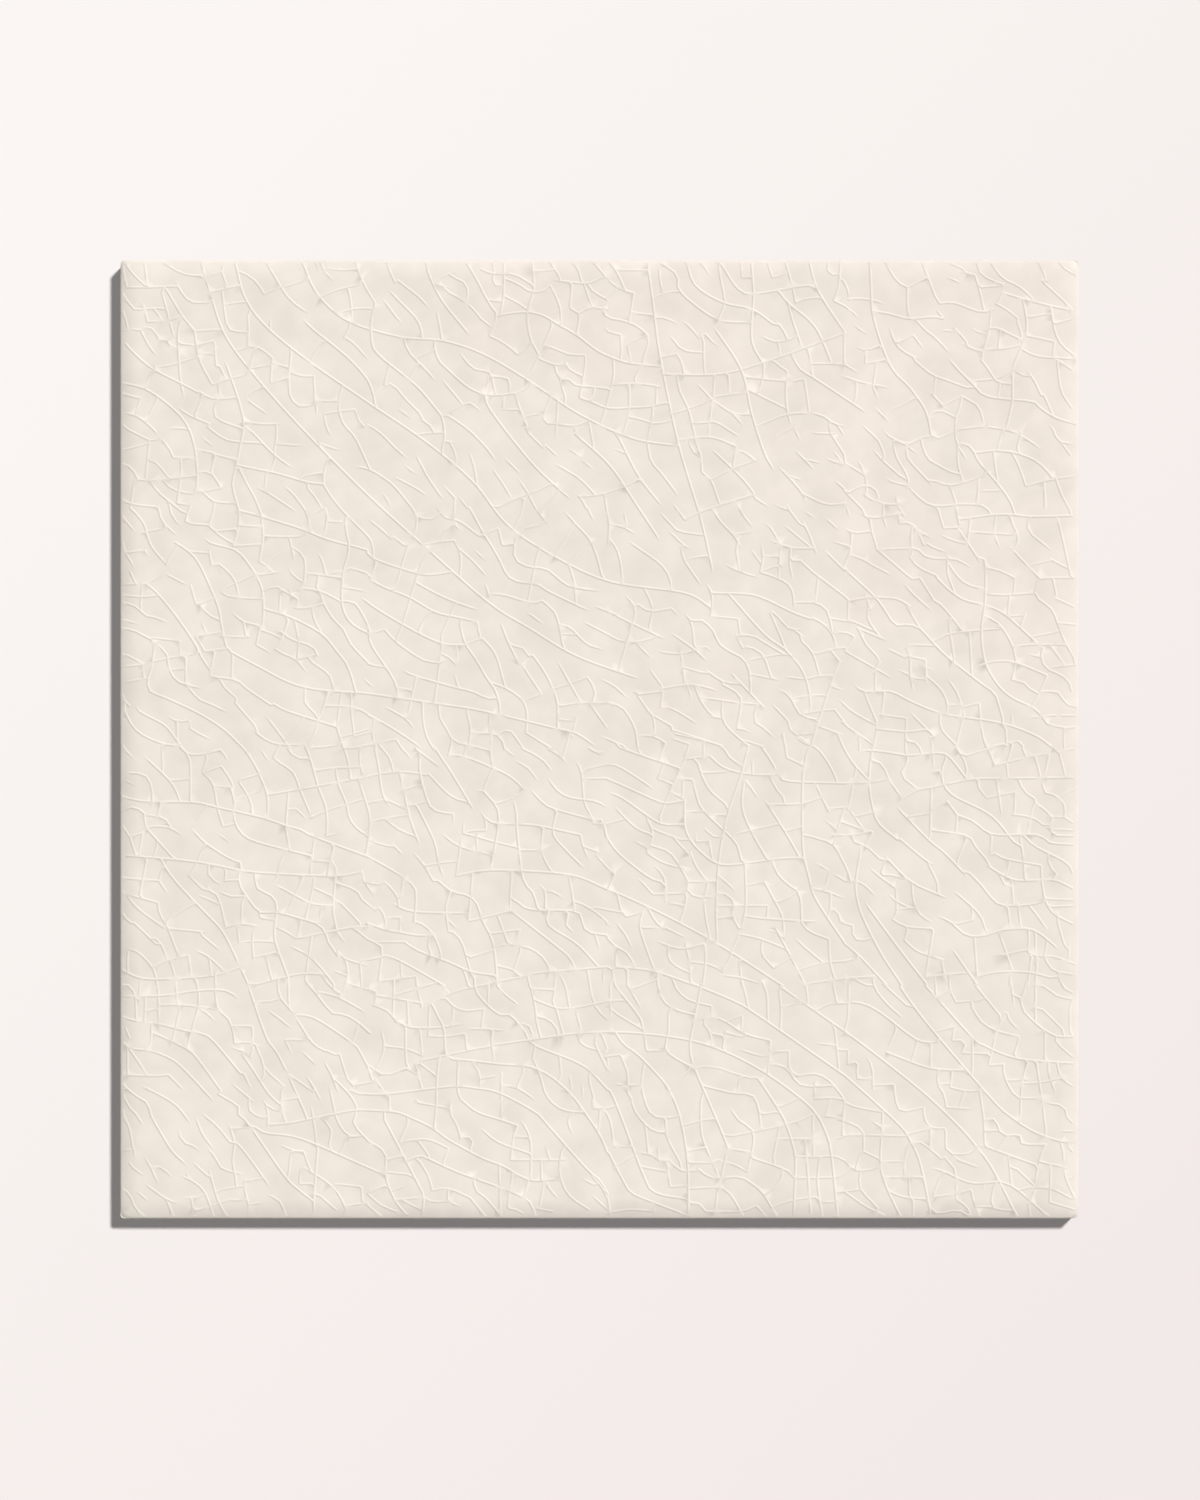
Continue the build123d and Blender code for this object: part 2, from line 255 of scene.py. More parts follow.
914,452 919,465 923,479; 755,244 763,268; 766,244 775,257; 778,244 790,251 811,255; 811,244 813,255 819,264;
798,255 798,269 803,281; 772,262 783,268 799,267 815,264; 784,269 786,283 791,299; 756,278 767,284 785,282;
745,272 752,282; 745,293 762,298; 765,284 763,304 757,318; 764,307 777,312; 791,301 819,325 827,332 836,331;
801,301 828,300; 814,265 815,274; 815,274 827,274 835,285 840,297; 828,279 827,292 828,305; 831,244 838,253
851,257 875,254 889,255 902,258 909,264; 871,244 877,274; 855,259 861,279; 877,270 914,265 934,265 953,267
995,266; 916,266 914,285 921,301; 889,269 886,293; 888,283 935,286; 875,278 895,308 899,317; 925,244 933,256
931,269 939,288 936,299; 949,270 950,282 961,292 975,303; 967,244 968,264; 985,244 994,263; 980,267 987,297
994,329; 928,295 939,308 962,332; 962,332 974,331 997,331; 975,331 979,349; 977,352 997,361; 905,320 921,324
935,331; 896,309 904,312 905,320 904,359 901,378 901,399 905,421 914,438 925,451 939,460 955,467 970,484;
904,347 921,349 957,347; 957,347 960,353 974,364 980,378 987,396 997,414; 854,331 866,343 882,354 902,359
918,365 932,375 965,405; 903,371 916,377 926,389 934,405 937,421; 850,398 866,390 886,387 921,384; 888,388
890,425; 866,376 872,417; 850,354 861,362 881,387; 819,336 829,348 849,366; 836,331 850,353; 826,310 835,320
854,329; 835,302 843,309 856,311 875,312 890,321; 843,295 852,300 865,304; 865,302 865,325 870,340; 866,316
875,329 886,338 904,343; 835,282 849,290; 857,285 868,291 883,295; 843,312 846,324; 861,279 888,278; 780,350
784,364; 782,364 782,375 790,387; 762,355 780,352 803,352 815,354 826,361; 745,341 760,350 761,373; 745,374
766,377 782,384; 771,384 803,397; 823,362 835,382; 773,387 780,401 794,417 790,425; 758,408 807,436; 800,404
820,414; 825,401 851,402; 822,405 826,415 826,433 830,451; 828,414 842,417; 842,417 843,442; 842,425
853,428; 812,427 826,433; 827,436 842,437; 849,439 859,449 865,463 864,474; 864,436 875,451 882,475; 865,464
879,464; 745,445 761,450; 767,442 778,450 805,450 824,459 847,469 868,475 921,483 957,496 974,508; 778,451
791,482; 751,457 764,470 790,485; 745,469 757,484 787,505; 790,426 789,449; 799,451 796,474; 794,474
822,478; 822,478 821,507; 791,489 822,492 840,490; 825,471 851,497; 791,490 788,507; 857,476 859,490
875,507; 881,479 876,498; 898,462 901,491 905,507; 883,466 898,462; 904,421 918,418 937,420 969,433; 937,421
932,440 941,438 951,447; 965,404 963,417 972,428 983,432 992,440 995,450; 972,401 987,421; 976,424 999,422;
935,403 953,401 990,401; 949,411 963,414; 957,392 978,388; 980,378 999,380; 946,368 942,382; 932,371
946,370; 930,349 928,369; 964,450 981,451 988,462 999,466; 969,435 956,461; 971,484 987,488 999,487; 950,477
974,475; 978,475 999,475; 932,472 933,486; 926,490 927,507; 987,490 987,507; 847,498 849,507; 911,507
939,502; 939,502 944,507; 772,498 773,507; 823,502 833,504 836,509; 745,389 757,388 767,392; 746,391
748,405; 759,405 767,394; 936,331 934,348; 959,336 956,346; 954,317 972,313; 972,311 985,318; 937,278
949,276; 787,318 806,328; 0,507 15,521; 18,494 31,502 45,506 58,506; 53,494 59,505 70,516 73,530 73,564;
24,517 50,542 58,554 62,565; 43,507 44,526; 9,535 20,536 29,541 33,555 33,564; 7,544 18,549; 74,516 91,515
105,511 112,524; 95,505 91,517 86,534; 55,543 73,541; 74,537 86,536; 86,535 95,544 99,557 101,571 107,591;
105,528 114,541 118,550; 98,549 116,550; 86,535 105,528; 115,551 119,566 118,580 123,594 132,603 148,609
175,616 199,622; 113,494 125,505 138,523 146,539 153,557 154,571 153,582; 124,545 132,557 137,569 137,578;
120,563 148,553; 154,558 200,550 259,539; 126,542 146,536; 146,509 155,524; 142,494 152,502 163,507 173,507;
166,494 175,510 184,519 196,520; 163,512 160,520 180,534 187,551 200,582; 193,507 198,519 207,551 214,569
216,587 215,602; 179,511 193,506; 195,509 212,508 228,506; 228,494 234,510 239,528 240,541; 203,533 223,530
250,529; 225,532 228,548 236,567 239,582 248,594 259,601; 250,510 251,530 257,541; 235,510 259,508; 249,542
259,574; 176,550 173,591 177,615; 176,573 184,573 194,584; 198,582 220,573 259,561; 216,601 230,598; 73,592
88,608 116,626 124,626 126,637; 100,597 114,608; 107,591 120,588; 11,571 24,576 26,591 36,603 54,623; 24,565
24,575; 25,579 41,581 48,585 52,591; 32,591 50,592 65,601; 0,574 11,571; 0,591 9,601 15,619; 23,598 19,621;
9,602 23,598; 42,567 33,597; 38,610 35,624; 43,627 50,639 63,655 91,684 105,699 116,719 132,753; 0,645
40,648; 40,648 50,663; 44,633 40,648; 27,626 20,663; 0,660 39,671; 39,671 41,683 50,699 61,728; 7,664 18,677
45,697; 0,683 11,692; 14,692 37,714; 36,708 44,717 48,731; 50,698 91,702; 86,706 104,721; 77,721 91,727
110,744; 0,718 15,721 27,731 35,742 38,756; 34,738 50,731 71,726; 71,727 74,749; 52,731 58,753; 0,741 18,749
36,751 81,749 107,745 123,739; 93,731 95,747; 92,632 93,644 106,652; 71,642 85,656; 80,663 91,667 101,672;
89,651 95,661 102,665 110,695; 102,658 114,664 130,664; 124,639 124,651 132,665 146,681 163,681 193,689
205,693 214,701 216,710 227,726; 109,648 122,647; 110,639 109,648; 140,640 143,656 155,662 162,669 163,681
161,699 162,713 175,749; 160,651 193,669 205,673 223,674; 175,616 168,626 163,646; 202,607 198,642; 200,627
218,628; 223,612 216,642; 220,626 225,635 225,644; 225,643 222,674 224,690 228,704 236,713; 225,650 246,658
252,667 259,673; 203,656 221,664; 203,642 201,656; 231,672 250,692; 252,637 254,646 259,655; 109,697 125,693
141,695; 127,671 126,692; 145,681 145,686 160,689; 145,687 138,706 139,730; 122,696 124,713; 124,713 139,711
161,712; 161,696 173,701 184,708 200,705 241,697 259,696; 189,689 185,706; 199,665 193,688; 176,716 191,723
205,734 223,756; 139,728 163,723; 152,727 158,751; 227,722 236,730 259,737; 235,730 238,744 236,754; 143,756
179,747 196,745 214,746; 220,741 236,747; 242,712 251,719; 191,644 177,674; 210,675 208,692; 200,706
193,751; 89,571 77,589; 7,728 7,742; 88,610 77,635; 263,494 270,530 272,547 276,563 282,570; 271,507 281,519
285,533; 288,500 304,521; 299,494 315,507; 310,511 334,529; 320,494 332,514 346,535 370,575; 340,494 350,500
361,505 387,512; 346,505 343,516; 362,506 360,514; 343,517 359,518 394,532 410,541 423,553; 388,494 387,512
389,530; 388,532 381,549; 393,494 403,511 414,518; 410,494 417,502; 414,507 431,515 444,524 452,536; 411,522
426,530 437,545; 426,496 448,506; 447,510 459,517 467,526; 470,494 463,517; 475,522 482,534 485,565 494,584;
447,540 456,553 470,561 497,565 509,572; 429,552 438,563 451,572 493,584; 485,541 509,541; 488,531 509,526;
490,509 500,514 509,513; 498,514 499,526; 479,494 497,503; 259,539 265,537 293,534 320,537; 292,535 300,572
305,590 313,611; 313,514 313,535 322,567 330,575 346,578; 322,536 336,551 348,561 361,565; 299,552 315,547;
300,570 321,565; 282,565 299,573; 259,574 261,586 259,607 256,621; 257,567 276,563; 262,586 276,583 300,579;
276,583 292,595 307,601; 260,606 277,611; 282,607 297,623; 310,570 325,600 330,614 333,632 339,644; 348,577
348,590; 259,623 279,634 295,644 306,653 309,664 307,692; 305,618 316,630 327,648; 320,632 336,629 350,628;
336,598 346,607 360,614 389,621; 359,584 358,598; 358,598 394,608 415,613; 357,600 351,643; 327,648 350,643
375,638 403,637 456,640 482,645 509,657; 372,554 378,553 387,563 394,572 395,590 387,637; 376,575 383,584
394,588 421,589 440,591 481,600; 411,561 414,579 415,600 421,646 431,660 436,676; 394,567 411,561 422,554;
442,593 440,614 444,627 450,637; 418,616 441,616; 456,576 452,598 463,613 486,636; 481,600 484,613 491,627;
484,612 500,618; 495,588 507,588; 505,589 508,602; 497,621 509,634; 372,600 373,616; 360,596 382,595;
382,588 382,602; 368,641 364,690; 409,639 407,679; 332,648 346,659 364,664 373,673 378,689 387,706 391,722
394,758; 345,660 340,676 343,701; 284,671 297,678 315,681 364,682; 276,649 284,657 290,666; 295,648 294,664;
259,655 266,664; 259,673 267,679; 254,649 270,652; 270,676 276,685 277,697; 277,687 293,686; 294,676
292,697; 258,692 276,699 293,702 309,705 327,705; 327,705 332,715 335,725; 307,690 318,695 327,704; 323,706
322,719 325,726; 251,703 261,711 272,715 273,728 270,752; 274,712 295,712; 297,712 311,721 343,733 366,743
391,747; 348,702 357,713 366,743; 341,688 353,699; 244,731 265,730 284,728 339,758; 244,731 269,743; 270,753
309,748; 293,736 294,749; 309,748 310,758; 364,690 378,687 409,679; 394,683 405,713; 389,703 418,699;
417,701 414,713; 392,715 412,715 431,720 444,731 449,743; 408,679 459,719 470,729 475,740; 416,671 429,678
475,680 482,689 488,701 509,705; 437,651 444,659 444,676; 444,659 454,660 463,667; 469,643 475,678; 484,673
497,681 509,691; 448,680 447,694 477,714 497,735; 466,694 476,705; 468,682 466,694; 496,703 501,720; 392,754
417,749 438,744 465,742 509,738; 393,737 410,741 418,748; 366,728 391,720; 408,666 419,665; 459,743 465,758;
488,740 491,758; 455,745 454,758; 360,745 364,758; 426,749 428,758; 251,741 252,758; 497,731 497,739;
418,722 413,736; 502,494 514,504 526,510 584,530; 538,494 542,512; 540,497 558,498 570,502; 575,499 595,506;
580,494 626,506 635,517 649,528; 494,512 501,515 508,515; 508,515 507,538; 499,515 499,525; 494,528 510,526
524,530 558,552; 494,541 510,542 551,560 570,567 589,564; 510,556 524,561 554,582 568,589 589,589; 494,564
512,574; 516,570 538,592 554,599; 494,585 505,585 507,598 514,611 526,624 552,644 565,649; 507,589 528,583;
569,524 562,541; 565,542 577,547; 589,524 572,561 564,581; 581,541 598,542; 595,505 590,521; 590,521
617,517; 610,503 610,519; 617,518 628,528 644,534 663,537 686,537; 604,525 609,540 617,554 632,567; 599,544
603,561 610,575 640,604 646,614 649,626; 588,544 588,561; 576,555 588,562; 590,563 590,589 595,604 607,618
624,630 644,631 688,625 713,624; 591,576 610,575; 616,579 634,579; 610,535 632,534; 658,501 649,537 635,579
626,625 623,676 624,709; 639,494 654,508; 656,501 667,505 677,517 690,538 700,544 758,546; 681,494 685,500;
693,494 697,519; 697,519 716,528; 706,494 713,503 728,509 741,526 748,540; 723,494 714,535 713,582 714,618
720,644 727,667 758,714; 661,519 661,535; 651,518 663,518; 654,543 668,563; 679,538 686,552 693,560 695,568;
652,545 650,570 658,593 676,625; 673,562 697,600 710,623; 677,568 697,568 714,567 730,562; 727,545 732,558
741,575; 739,573 758,571; 736,583 749,595; 755,577 746,609; 715,600 730,604 746,611 758,632; 642,599 660,595
686,589; 697,596 713,591; 609,591 619,601 628,602; 602,607 616,606; 616,607 618,621; 601,595 602,607;
582,607 595,621; 562,596 586,605; 551,584 557,598 554,611; 554,611 572,617 582,628 594,649; 594,649 593,658
603,665 623,664; 596,618 602,633 614,648 624,648; 595,649 614,649; 536,605 551,614; 540,596 537,606; 551,619
565,628 580,633 588,634; 557,632 566,640 570,651 570,672; 561,662 591,661; 593,658 590,677 586,688; 570,670
589,674; 540,644 557,662; 494,651 529,665 577,688 626,715 693,758; 494,622 517,641; 517,642 510,656; 499,676
512,679 526,681; 520,663 522,672 527,685 545,681; 494,679 514,697; 517,690 529,706 535,720; 547,679 543,695
549,716 559,743; 552,677 559,690 568,698; 547,697 566,697; 570,697 592,708; 560,710 573,716 589,719 610,714;
494,703 508,707 517,716 529,723 538,737; 494,706 501,721; 518,718 518,737; 509,738 529,739 559,743 600,757;
573,717 573,729 582,738 595,744; 591,716 595,732 596,751; 598,733 617,736 630,743; 610,665 612,686 616,706;
614,651 611,665; 610,707 612,730 609,757; 639,725 628,746; 628,747 647,749 668,755; 647,732 650,757; 614,689
640,685; 625,674 677,674; 625,642 644,659; 624,661 635,663 642,672 640,684 647,698; 653,630 654,672 650,697;
646,655 672,649; 673,648 683,667 692,685 694,707; 682,626 686,639 697,651 709,660 712,676 713,693 723,702
741,709; 653,685 679,688 730,691; 677,674 676,687; 649,704 670,709 693,718; 647,704 639,723; 671,713 671,725
683,739; 686,699 707,739 716,757; 676,699 688,702; 705,707 716,718 734,733; 741,709 742,732 747,751; 713,740
734,734 758,732; 727,629 758,648; 725,656 741,660 758,667; 741,641 737,656; 743,663 742,679; 739,678 749,679
753,690; 688,670 700,665; 684,739 698,730; 505,741 505,757; 514,741 517,757; 530,741 530,757; 561,744
562,757; 628,567 635,572; 640,561 650,565; 723,755 758,750; 570,505 563,521; 512,545 509,556; 750,494
757,510 767,526 781,541; 758,546 783,545 801,542; 789,494 784,526 783,547 786,568 793,588 813,605; 773,494
772,511; 771,496 786,505; 773,512 790,512 811,515 824,517 843,515 862,515 871,523 884,540; 821,494 824,510
822,526 817,538 834,552; 822,501 831,503 836,512; 786,522 797,527 804,542 818,563; 847,494 851,531; 862,494
873,507 882,521 885,531 884,540; 863,521 859,533 861,547 871,559 903,575 917,586 934,607; 846,534 857,533;
820,561 834,553 850,550 889,542 913,541 996,540; 901,494 915,528; 885,517 920,506 940,502; 940,502 947,517;
916,527 956,517 971,515; 925,494 926,503; 933,505 928,523; 927,525 928,539; 957,519 962,538; 971,517 965,552
979,559 987,568 988,576; 964,496 980,513; 980,513 996,510; 982,514 988,537; 986,494 987,510; 897,543 898,551
906,561; 916,541 922,581; 939,541 945,554 956,562; 912,560 936,555; 936,556 935,576; 924,579 938,579 956,583
966,590 973,589; 957,566 975,582 972,591 977,600 996,601; 977,581 986,581 996,587; 977,594 996,595; 954,572
950,593 950,600; 864,564 875,579; 875,579 892,586 903,595 917,600 959,600 972,608 996,610; 875,581 874,595;
848,551 847,600; 848,595 885,601 894,612 905,625; 811,570 845,605 862,619 886,644; 888,640 899,651 910,665
920,673 938,674 956,672 966,669; 825,581 848,577; 850,572 864,565; 815,604 840,625 852,632; 846,633 854,649
855,660; 765,600 767,607 780,612 794,625; 798,621 827,649 864,666; 745,600 766,600 785,596; 753,586 778,595;
745,572 759,571 774,590; 767,581 789,576; 759,572 752,589; 768,537 762,570; 758,632 760,635 764,649; 775,612
769,649 771,670 778,690 796,725 817,757; 778,670 815,720 843,756; 758,714 774,728 801,757; 758,648 769,648
780,654 790,665; 783,633 792,642 810,655; 790,642 806,642 820,646; 800,626 796,639; 771,635 783,633; 811,647
812,678; 812,678 831,676; 803,661 811,669 825,676; 828,651 829,667 836,683 850,692; 807,688 822,696 848,698;
811,683 807,688; 850,700 842,749; 823,700 820,710; 820,710 834,722 861,731; 859,732 862,748; 854,685 868,691
885,705 906,705 920,700 947,698 961,703 982,720; 871,658 898,683 906,704; 876,693 891,689; 891,681 890,689;
893,706 896,749; 869,718 896,757; 928,676 931,698; 939,676 942,698; 957,682 970,700; 903,630 935,647 975,647
996,656; 963,632 964,651 968,670 977,683 996,693; 914,619 926,625 963,632; 911,602 910,621; 941,604 944,621
946,646; 946,602 957,612 989,629 996,640; 930,626 927,642; 932,647 934,672; 920,642 926,654 932,654; 970,621
972,633 979,640 975,647; 969,667 996,668; 975,675 996,674; 984,676 980,688 987,714; 919,702 933,742; 925,725
949,720; 950,700 950,723; 950,723 959,727 975,727 998,735; 966,727 975,741 996,746; 969,714 966,727; 957,705
957,725; 898,748 913,744 931,743 952,744 972,749; 931,743 930,757; 953,727 949,757; 959,728 957,757; 843,749
864,746 878,745; 867,747 867,757; 758,667 764,671 776,669; 745,677 752,690 766,695; 766,695 767,708 778,710;
758,732 771,729; 758,750 774,749 789,748; 767,751 780,757; 896,611 908,610; 885,603 876,625; 981,748
985,757; 992,714 992,727; 778,612 787,598; 760,629 771,627; 35,745 39,761 40,798; 56,745 58,761 59,777;
63,778 54,816; 0,769 45,768 72,764 98,762 113,764 124,772; 0,757 9,758 15,768 16,787; 78,750 81,762 81,780
69,823; 41,778 66,778 100,782; 99,745 99,764 102,782 113,793 118,807 119,818; 82,782 91,787 99,796; 0,790
18,795 41,798 63,804 88,809 100,819 125,849; 26,768 25,794; 20,755 18,789; 26,784 40,782; 32,800 32,816
28,825; 5,802 9,812; 32,806 68,823 81,835 105,868; 0,817 9,824 27,850; 15,824 32,826 48,832 63,842 98,879;
0,851 36,852 50,851; 50,851 66,867; 0,860 16,873 28,881 32,894 41,910 54,931 70,946; 21,862 48,876 61,886
73,902; 0,866 9,885 16,892 24,905; 0,887 9,907 12,923 16,939; 0,930 15,929; 130,748 152,811 163,827 175,851
192,889; 138,760 175,751; 164,755 167,770 180,786 200,817 214,826; 175,750 176,780; 156,745 157,752; 193,745
195,755 203,764 221,786 234,788 248,796 259,806; 211,748 220,759 230,766; 207,764 228,770 257,786; 237,745
234,762; 236,755 259,762; 185,788 198,790 212,797 244,819 252,830 259,844; 153,783 166,792 179,803; 141,775
157,774; 172,815 180,830; 177,814 196,815; 189,826 205,841; 216,826 225,830; 116,800 136,800; 138,802
138,825; 120,818 134,817 148,823; 114,822 130,827 136,832; 127,830 136,842 155,871 168,883; 144,827 149,839
150,851; 129,850 137,867; 115,859 141,881; 157,851 171,863; 148,851 158,851; 177,851 202,869; 193,851
202,864 210,880; 212,836 220,850 228,871; 229,829 236,852; 223,852 234,853 244,863; 225,857 237,869 246,882
246,892 244,903 259,920; 218,861 225,894 230,905 239,915 250,915; 241,867 250,871 259,871; 102,871 123,884
123,892 134,903 171,956 186,971 200,982; 148,876 155,885 167,889; 168,869 168,885 173,901; 168,878 186,875;
134,881 136,890 148,896; 154,894 154,905; 141,906 152,912 189,918 259,948; 155,903 179,901 223,892 246,888
259,888; 199,882 204,914 204,924; 210,896 220,908 218,924; 206,928 202,981 203,999; 166,923 179,930 191,931;
188,920 195,942; 178,932 176,953; 192,948 214,962 225,972 234,987 236,999; 225,965 250,968; 235,988 259,985;
209,978 225,992; 188,951 187,965; 187,965 200,965; 84,891 100,904 114,921; 114,921 125,926 157,969; 78,894
86,914 98,929; 90,928 100,938 102,946 114,952 130,955; 113,901 119,923 117,940 120,958; 107,905 114,921;
116,907 134,906; 61,907 64,920 77,926 83,931; 24,935 32,949 40,967; 32,948 43,948 54,959; 9,943 15,950
25,956; 24,964 48,981 61,985; 61,956 75,962 88,974 97,999; 75,942 90,956; 68,952 72,960; 92,949 102,983
111,999; 105,971 129,967; 129,956 130,972 134,987; 130,962 149,959; 116,981 79,993; 116,982 130,982; 134,987
150,984; 134,987 134,999; 152,976 166,983 173,999; 0,971 9,976 15,990 24,999; 16,972 29,983; 48,982 55,999;
74,981 77,999; 65,980 82,979; 7,828 7,850; 248,800 244,814; 237,915 232,930; 252,969 253,990; 259,761
267,764; 271,745 266,776; 252,745 252,756; 286,752 285,785; 269,768 315,776; 309,745 310,759 315,780;
288,767 329,755; 321,745 343,765; 264,778 279,784 289,796; 289,795 302,801 315,802 338,801 359,797; 244,778
256,785; 244,792 261,807; 272,802 275,815 275,826 270,840; 276,821 299,824 316,831; 300,776 301,799; 298,803
298,822 300,843 309,850; 313,803 316,835; 323,778 322,812; 315,810 339,811 359,808; 325,776 332,790 338,803
340,828 345,834 364,836 399,840 426,842 444,849 459,860 475,876 500,912 509,932; 315,836 371,824 389,821;
389,820 424,815 474,808 509,806; 340,771 348,779 360,784 380,782; 348,779 347,797; 360,785 360,801 362,824;
361,803 382,803 403,805; 380,782 377,803; 360,745 366,760; 370,750 373,766 394,787 408,789 423,806; 327,775
350,764 375,758 426,748; 385,757 384,778; 392,753 399,764 415,777; 415,777 409,780 408,789; 389,805 388,817
391,836; 403,806 401,817; 426,745 433,776 435,794 439,811; 421,797 428,801 432,814; 430,761 451,762; 432,772
456,781 474,781 509,774; 459,745 465,757 469,778; 456,753 452,773; 488,745 496,778 509,793; 436,790 447,793
455,801 458,811; 456,783 463,809; 475,781 483,808; 427,815 437,822 475,837 491,847 509,866; 479,809 482,819
495,824; 497,810 497,820 509,845; 504,810 509,824; 433,824 431,833 435,842; 459,831 461,851; 259,844
263,856; 258,840 276,851 299,844; 244,862 265,858; 267,856 276,870; 244,869 254,871 279,871 329,865 353,863
371,865 396,870 435,891 447,904 488,950 499,959 509,974; 309,840 315,866; 313,839 330,852; 334,831 331,852
330,886 328,905; 353,836 353,870 362,882 375,891 394,897 415,904; 311,880 344,886; 312,868 307,886; 346,877
345,891 352,904 356,919; 368,839 376,851 375,865; 376,855 399,851; 398,840 398,874; 398,877 398,897; 400,862
415,865 435,878; 421,849 415,863; 439,852 445,872 456,884 468,889 482,890; 469,849 472,865; 490,851 491,861
495,875; 482,859 484,875; 494,866 494,886; 494,886 509,886; 259,888 288,890 306,897 325,906 343,919 378,938
399,946 428,961 459,960; 259,920 267,925 277,934 277,955 282,972 290,987 299,997; 276,898 311,965 317,979
315,999; 281,874 281,889; 300,902 292,921; 292,922 307,919 323,919 341,927; 259,948 277,956; 278,940
293,936; 300,941 311,936 320,938 353,953 421,979 434,999; 312,921 322,935; 313,942 322,957 326,972; 326,972
343,970 366,980; 376,906 394,921 427,933; 415,905 411,916 408,939; 417,898 424,907 429,923 429,959; 412,916
426,916; 408,940 461,940; 444,924 449,940; 432,925 444,924; 440,941 440,960; 461,932 459,949 463,967 472,980
490,992; 470,893 468,902 474,914; 357,917 368,917 366,928; 445,961 449,971 459,981; 482,959 495,966; 491,975
509,992; 396,953 397,989; 410,955 405,988; 370,957 371,971 383,981 398,999; 366,980 381,999; 343,972 343,983
357,989; 317,979 327,984 343,983; 258,975 272,987 288,994; 254,976 276,967; 283,973 300,966; 258,987
272,999; 300,985 316,993; 286,982 316,979; 279,953 300,955; 253,968 254,990; 442,969 438,990; 435,991
452,994; 398,991 410,991 421,996; 343,928 338,941; 427,961 422,978; 501,893 500,908; 514,745 517,757 538,784
545,796 550,825; 530,745 531,757 537,769 545,782; 561,745 563,760 568,774 581,783 600,788; 494,756 515,757;
501,774 526,773; 512,758 513,790; 494,779 511,795; 520,788 545,803; 509,806 547,808 596,815 635,828 676,850
714,878 729,894 737,910 743,931 750,998; 574,745 604,758 644,775 667,789 758,852; 578,752 582,762 593,772
605,776 618,779; 618,779 618,791; 609,748 598,804 596,815 596,829 602,848 633,921 634,931 626,968; 602,793
626,792 653,808 679,815; 611,799 617,808 618,820; 619,808 630,810; 633,805 630,822; 634,807 649,811; 646,824
669,831 678,830; 680,816 677,848; 679,827 699,826; 699,826 700,845 709,852; 709,852 727,850 741,857 753,871;
678,840 690,841 699,847 710,861 729,863 744,862; 670,745 702,767 758,806; 648,745 655,773; 628,749 648,750
665,756; 670,752 676,766 677,790; 689,764 691,783 690,801; 711,745 717,759 719,774; 720,757 758,750; 745,755
749,774; 729,783 741,777 758,776; 691,780 709,776; 747,803 751,840; 727,818 748,820; 650,789 650,804;
640,792 650,789; 573,787 573,806 570,824 581,834 596,842; 552,826 570,825; 519,809 526,819 540,829 556,845
570,861 579,878 586,899 593,942 594,998; 497,809 499,824 505,840 515,851; 505,810 510,840; 507,832 522,830;
523,831 530,848 531,871; 515,860 530,862 545,861; 547,843 545,864 554,891 570,896 584,894; 494,850 507,863
517,878 549,961 561,975 593,981; 534,875 538,889 549,903 559,910 570,911; 570,898 572,917 585,942; 574,940
586,951 604,951; 494,903 505,922 528,966 535,975 556,984 593,998; 494,885 503,885 512,899 516,926; 501,891
501,908; 501,909 512,909; 517,926 533,926; 538,934 552,933 563,940 572,941; 550,914 552,933; 571,942
575,968; 575,968 593,967; 554,949 570,952; 562,926 563,939; 517,947 538,935; 607,878 607,903 610,921
626,958; 588,904 607,899 621,897; 611,863 640,870 660,872 667,885 670,907; 637,848 658,854 666,854; 648,854
645,870; 667,855 688,887 697,905 703,924 706,943 704,998; 637,884 646,898 660,908 662,921 656,952; 640,915
693,904; 661,938 695,950 704,958; 689,906 683,936; 686,918 725,918; 625,940 642,945 655,952; 635,928
660,932; 595,943 618,943; 593,931 611,927; 604,949 614,957 626,959 648,958 662,966 672,975 686,998; 595,970
625,969 637,975 651,998; 595,985 605,986 612,994; 612,994 648,994 663,989; 624,975 622,996; 665,988 674,998;
685,988 704,982 727,979; 707,936 727,937 746,936 758,941; 707,959 748,958 758,954; 716,919 722,996; 724,901
725,935; 731,940 729,965 734,998; 731,984 750,984; 693,903 707,900 725,892; 707,900 714,908; 672,892
685,890; 690,884 704,878; 725,876 744,875 757,877; 726,852 726,876; 736,894 755,896; 743,876 738,892;
757,880 755,914; 743,919 758,915; 494,958 503,968 510,982 512,998; 494,977 510,996; 514,995 533,992 558,994;
558,984 558,998; 758,776 769,775 783,779 799,789 829,812 843,817 855,816; 758,806 785,826 839,869 875,903
892,922 908,943 920,964 938,1000; 758,852 785,876 817,906 827,922 834,936 840,959 848,1000; 806,745 841,794
910,875 929,893 949,907 966,915 986,921 1000,921; 831,745 889,810 903,820 922,829 945,835 996,839; 884,745
920,789; 786,745 822,778; 787,750 790,762 803,778 819,792; 762,750 761,789 758,803; 745,755 748,774; 767,751
778,758; 750,825 761,825; 761,825 761,840; 752,840 769,838; 779,831 786,843 787,866; 771,840 771,855
786,854; 788,862 808,861; 800,827 843,843 868,846 884,846; 834,815 827,838; 848,818 847,843; 852,748
853,767; 867,746 868,762 874,775; 874,775 898,773; 855,769 868,762; 872,801 870,815; 870,815 884,816
880,828; 880,828 907,829; 855,805 871,801; 891,781 901,796 917,805 940,811; 925,786 917,804; 916,806
908,841; 908,841 924,840; 927,786 931,796 941,804; 942,806 935,829; 891,815 891,848; 930,745 935,781;
933,767 943,772 943,782 956,796 968,805 980,811 996,811; 950,745 943,772; 957,750 957,796; 948,758 965,758
979,768 996,772; 981,745 986,759 996,765; 965,783 985,803; 993,780 993,804; 967,806 967,836; 973,809 984,822
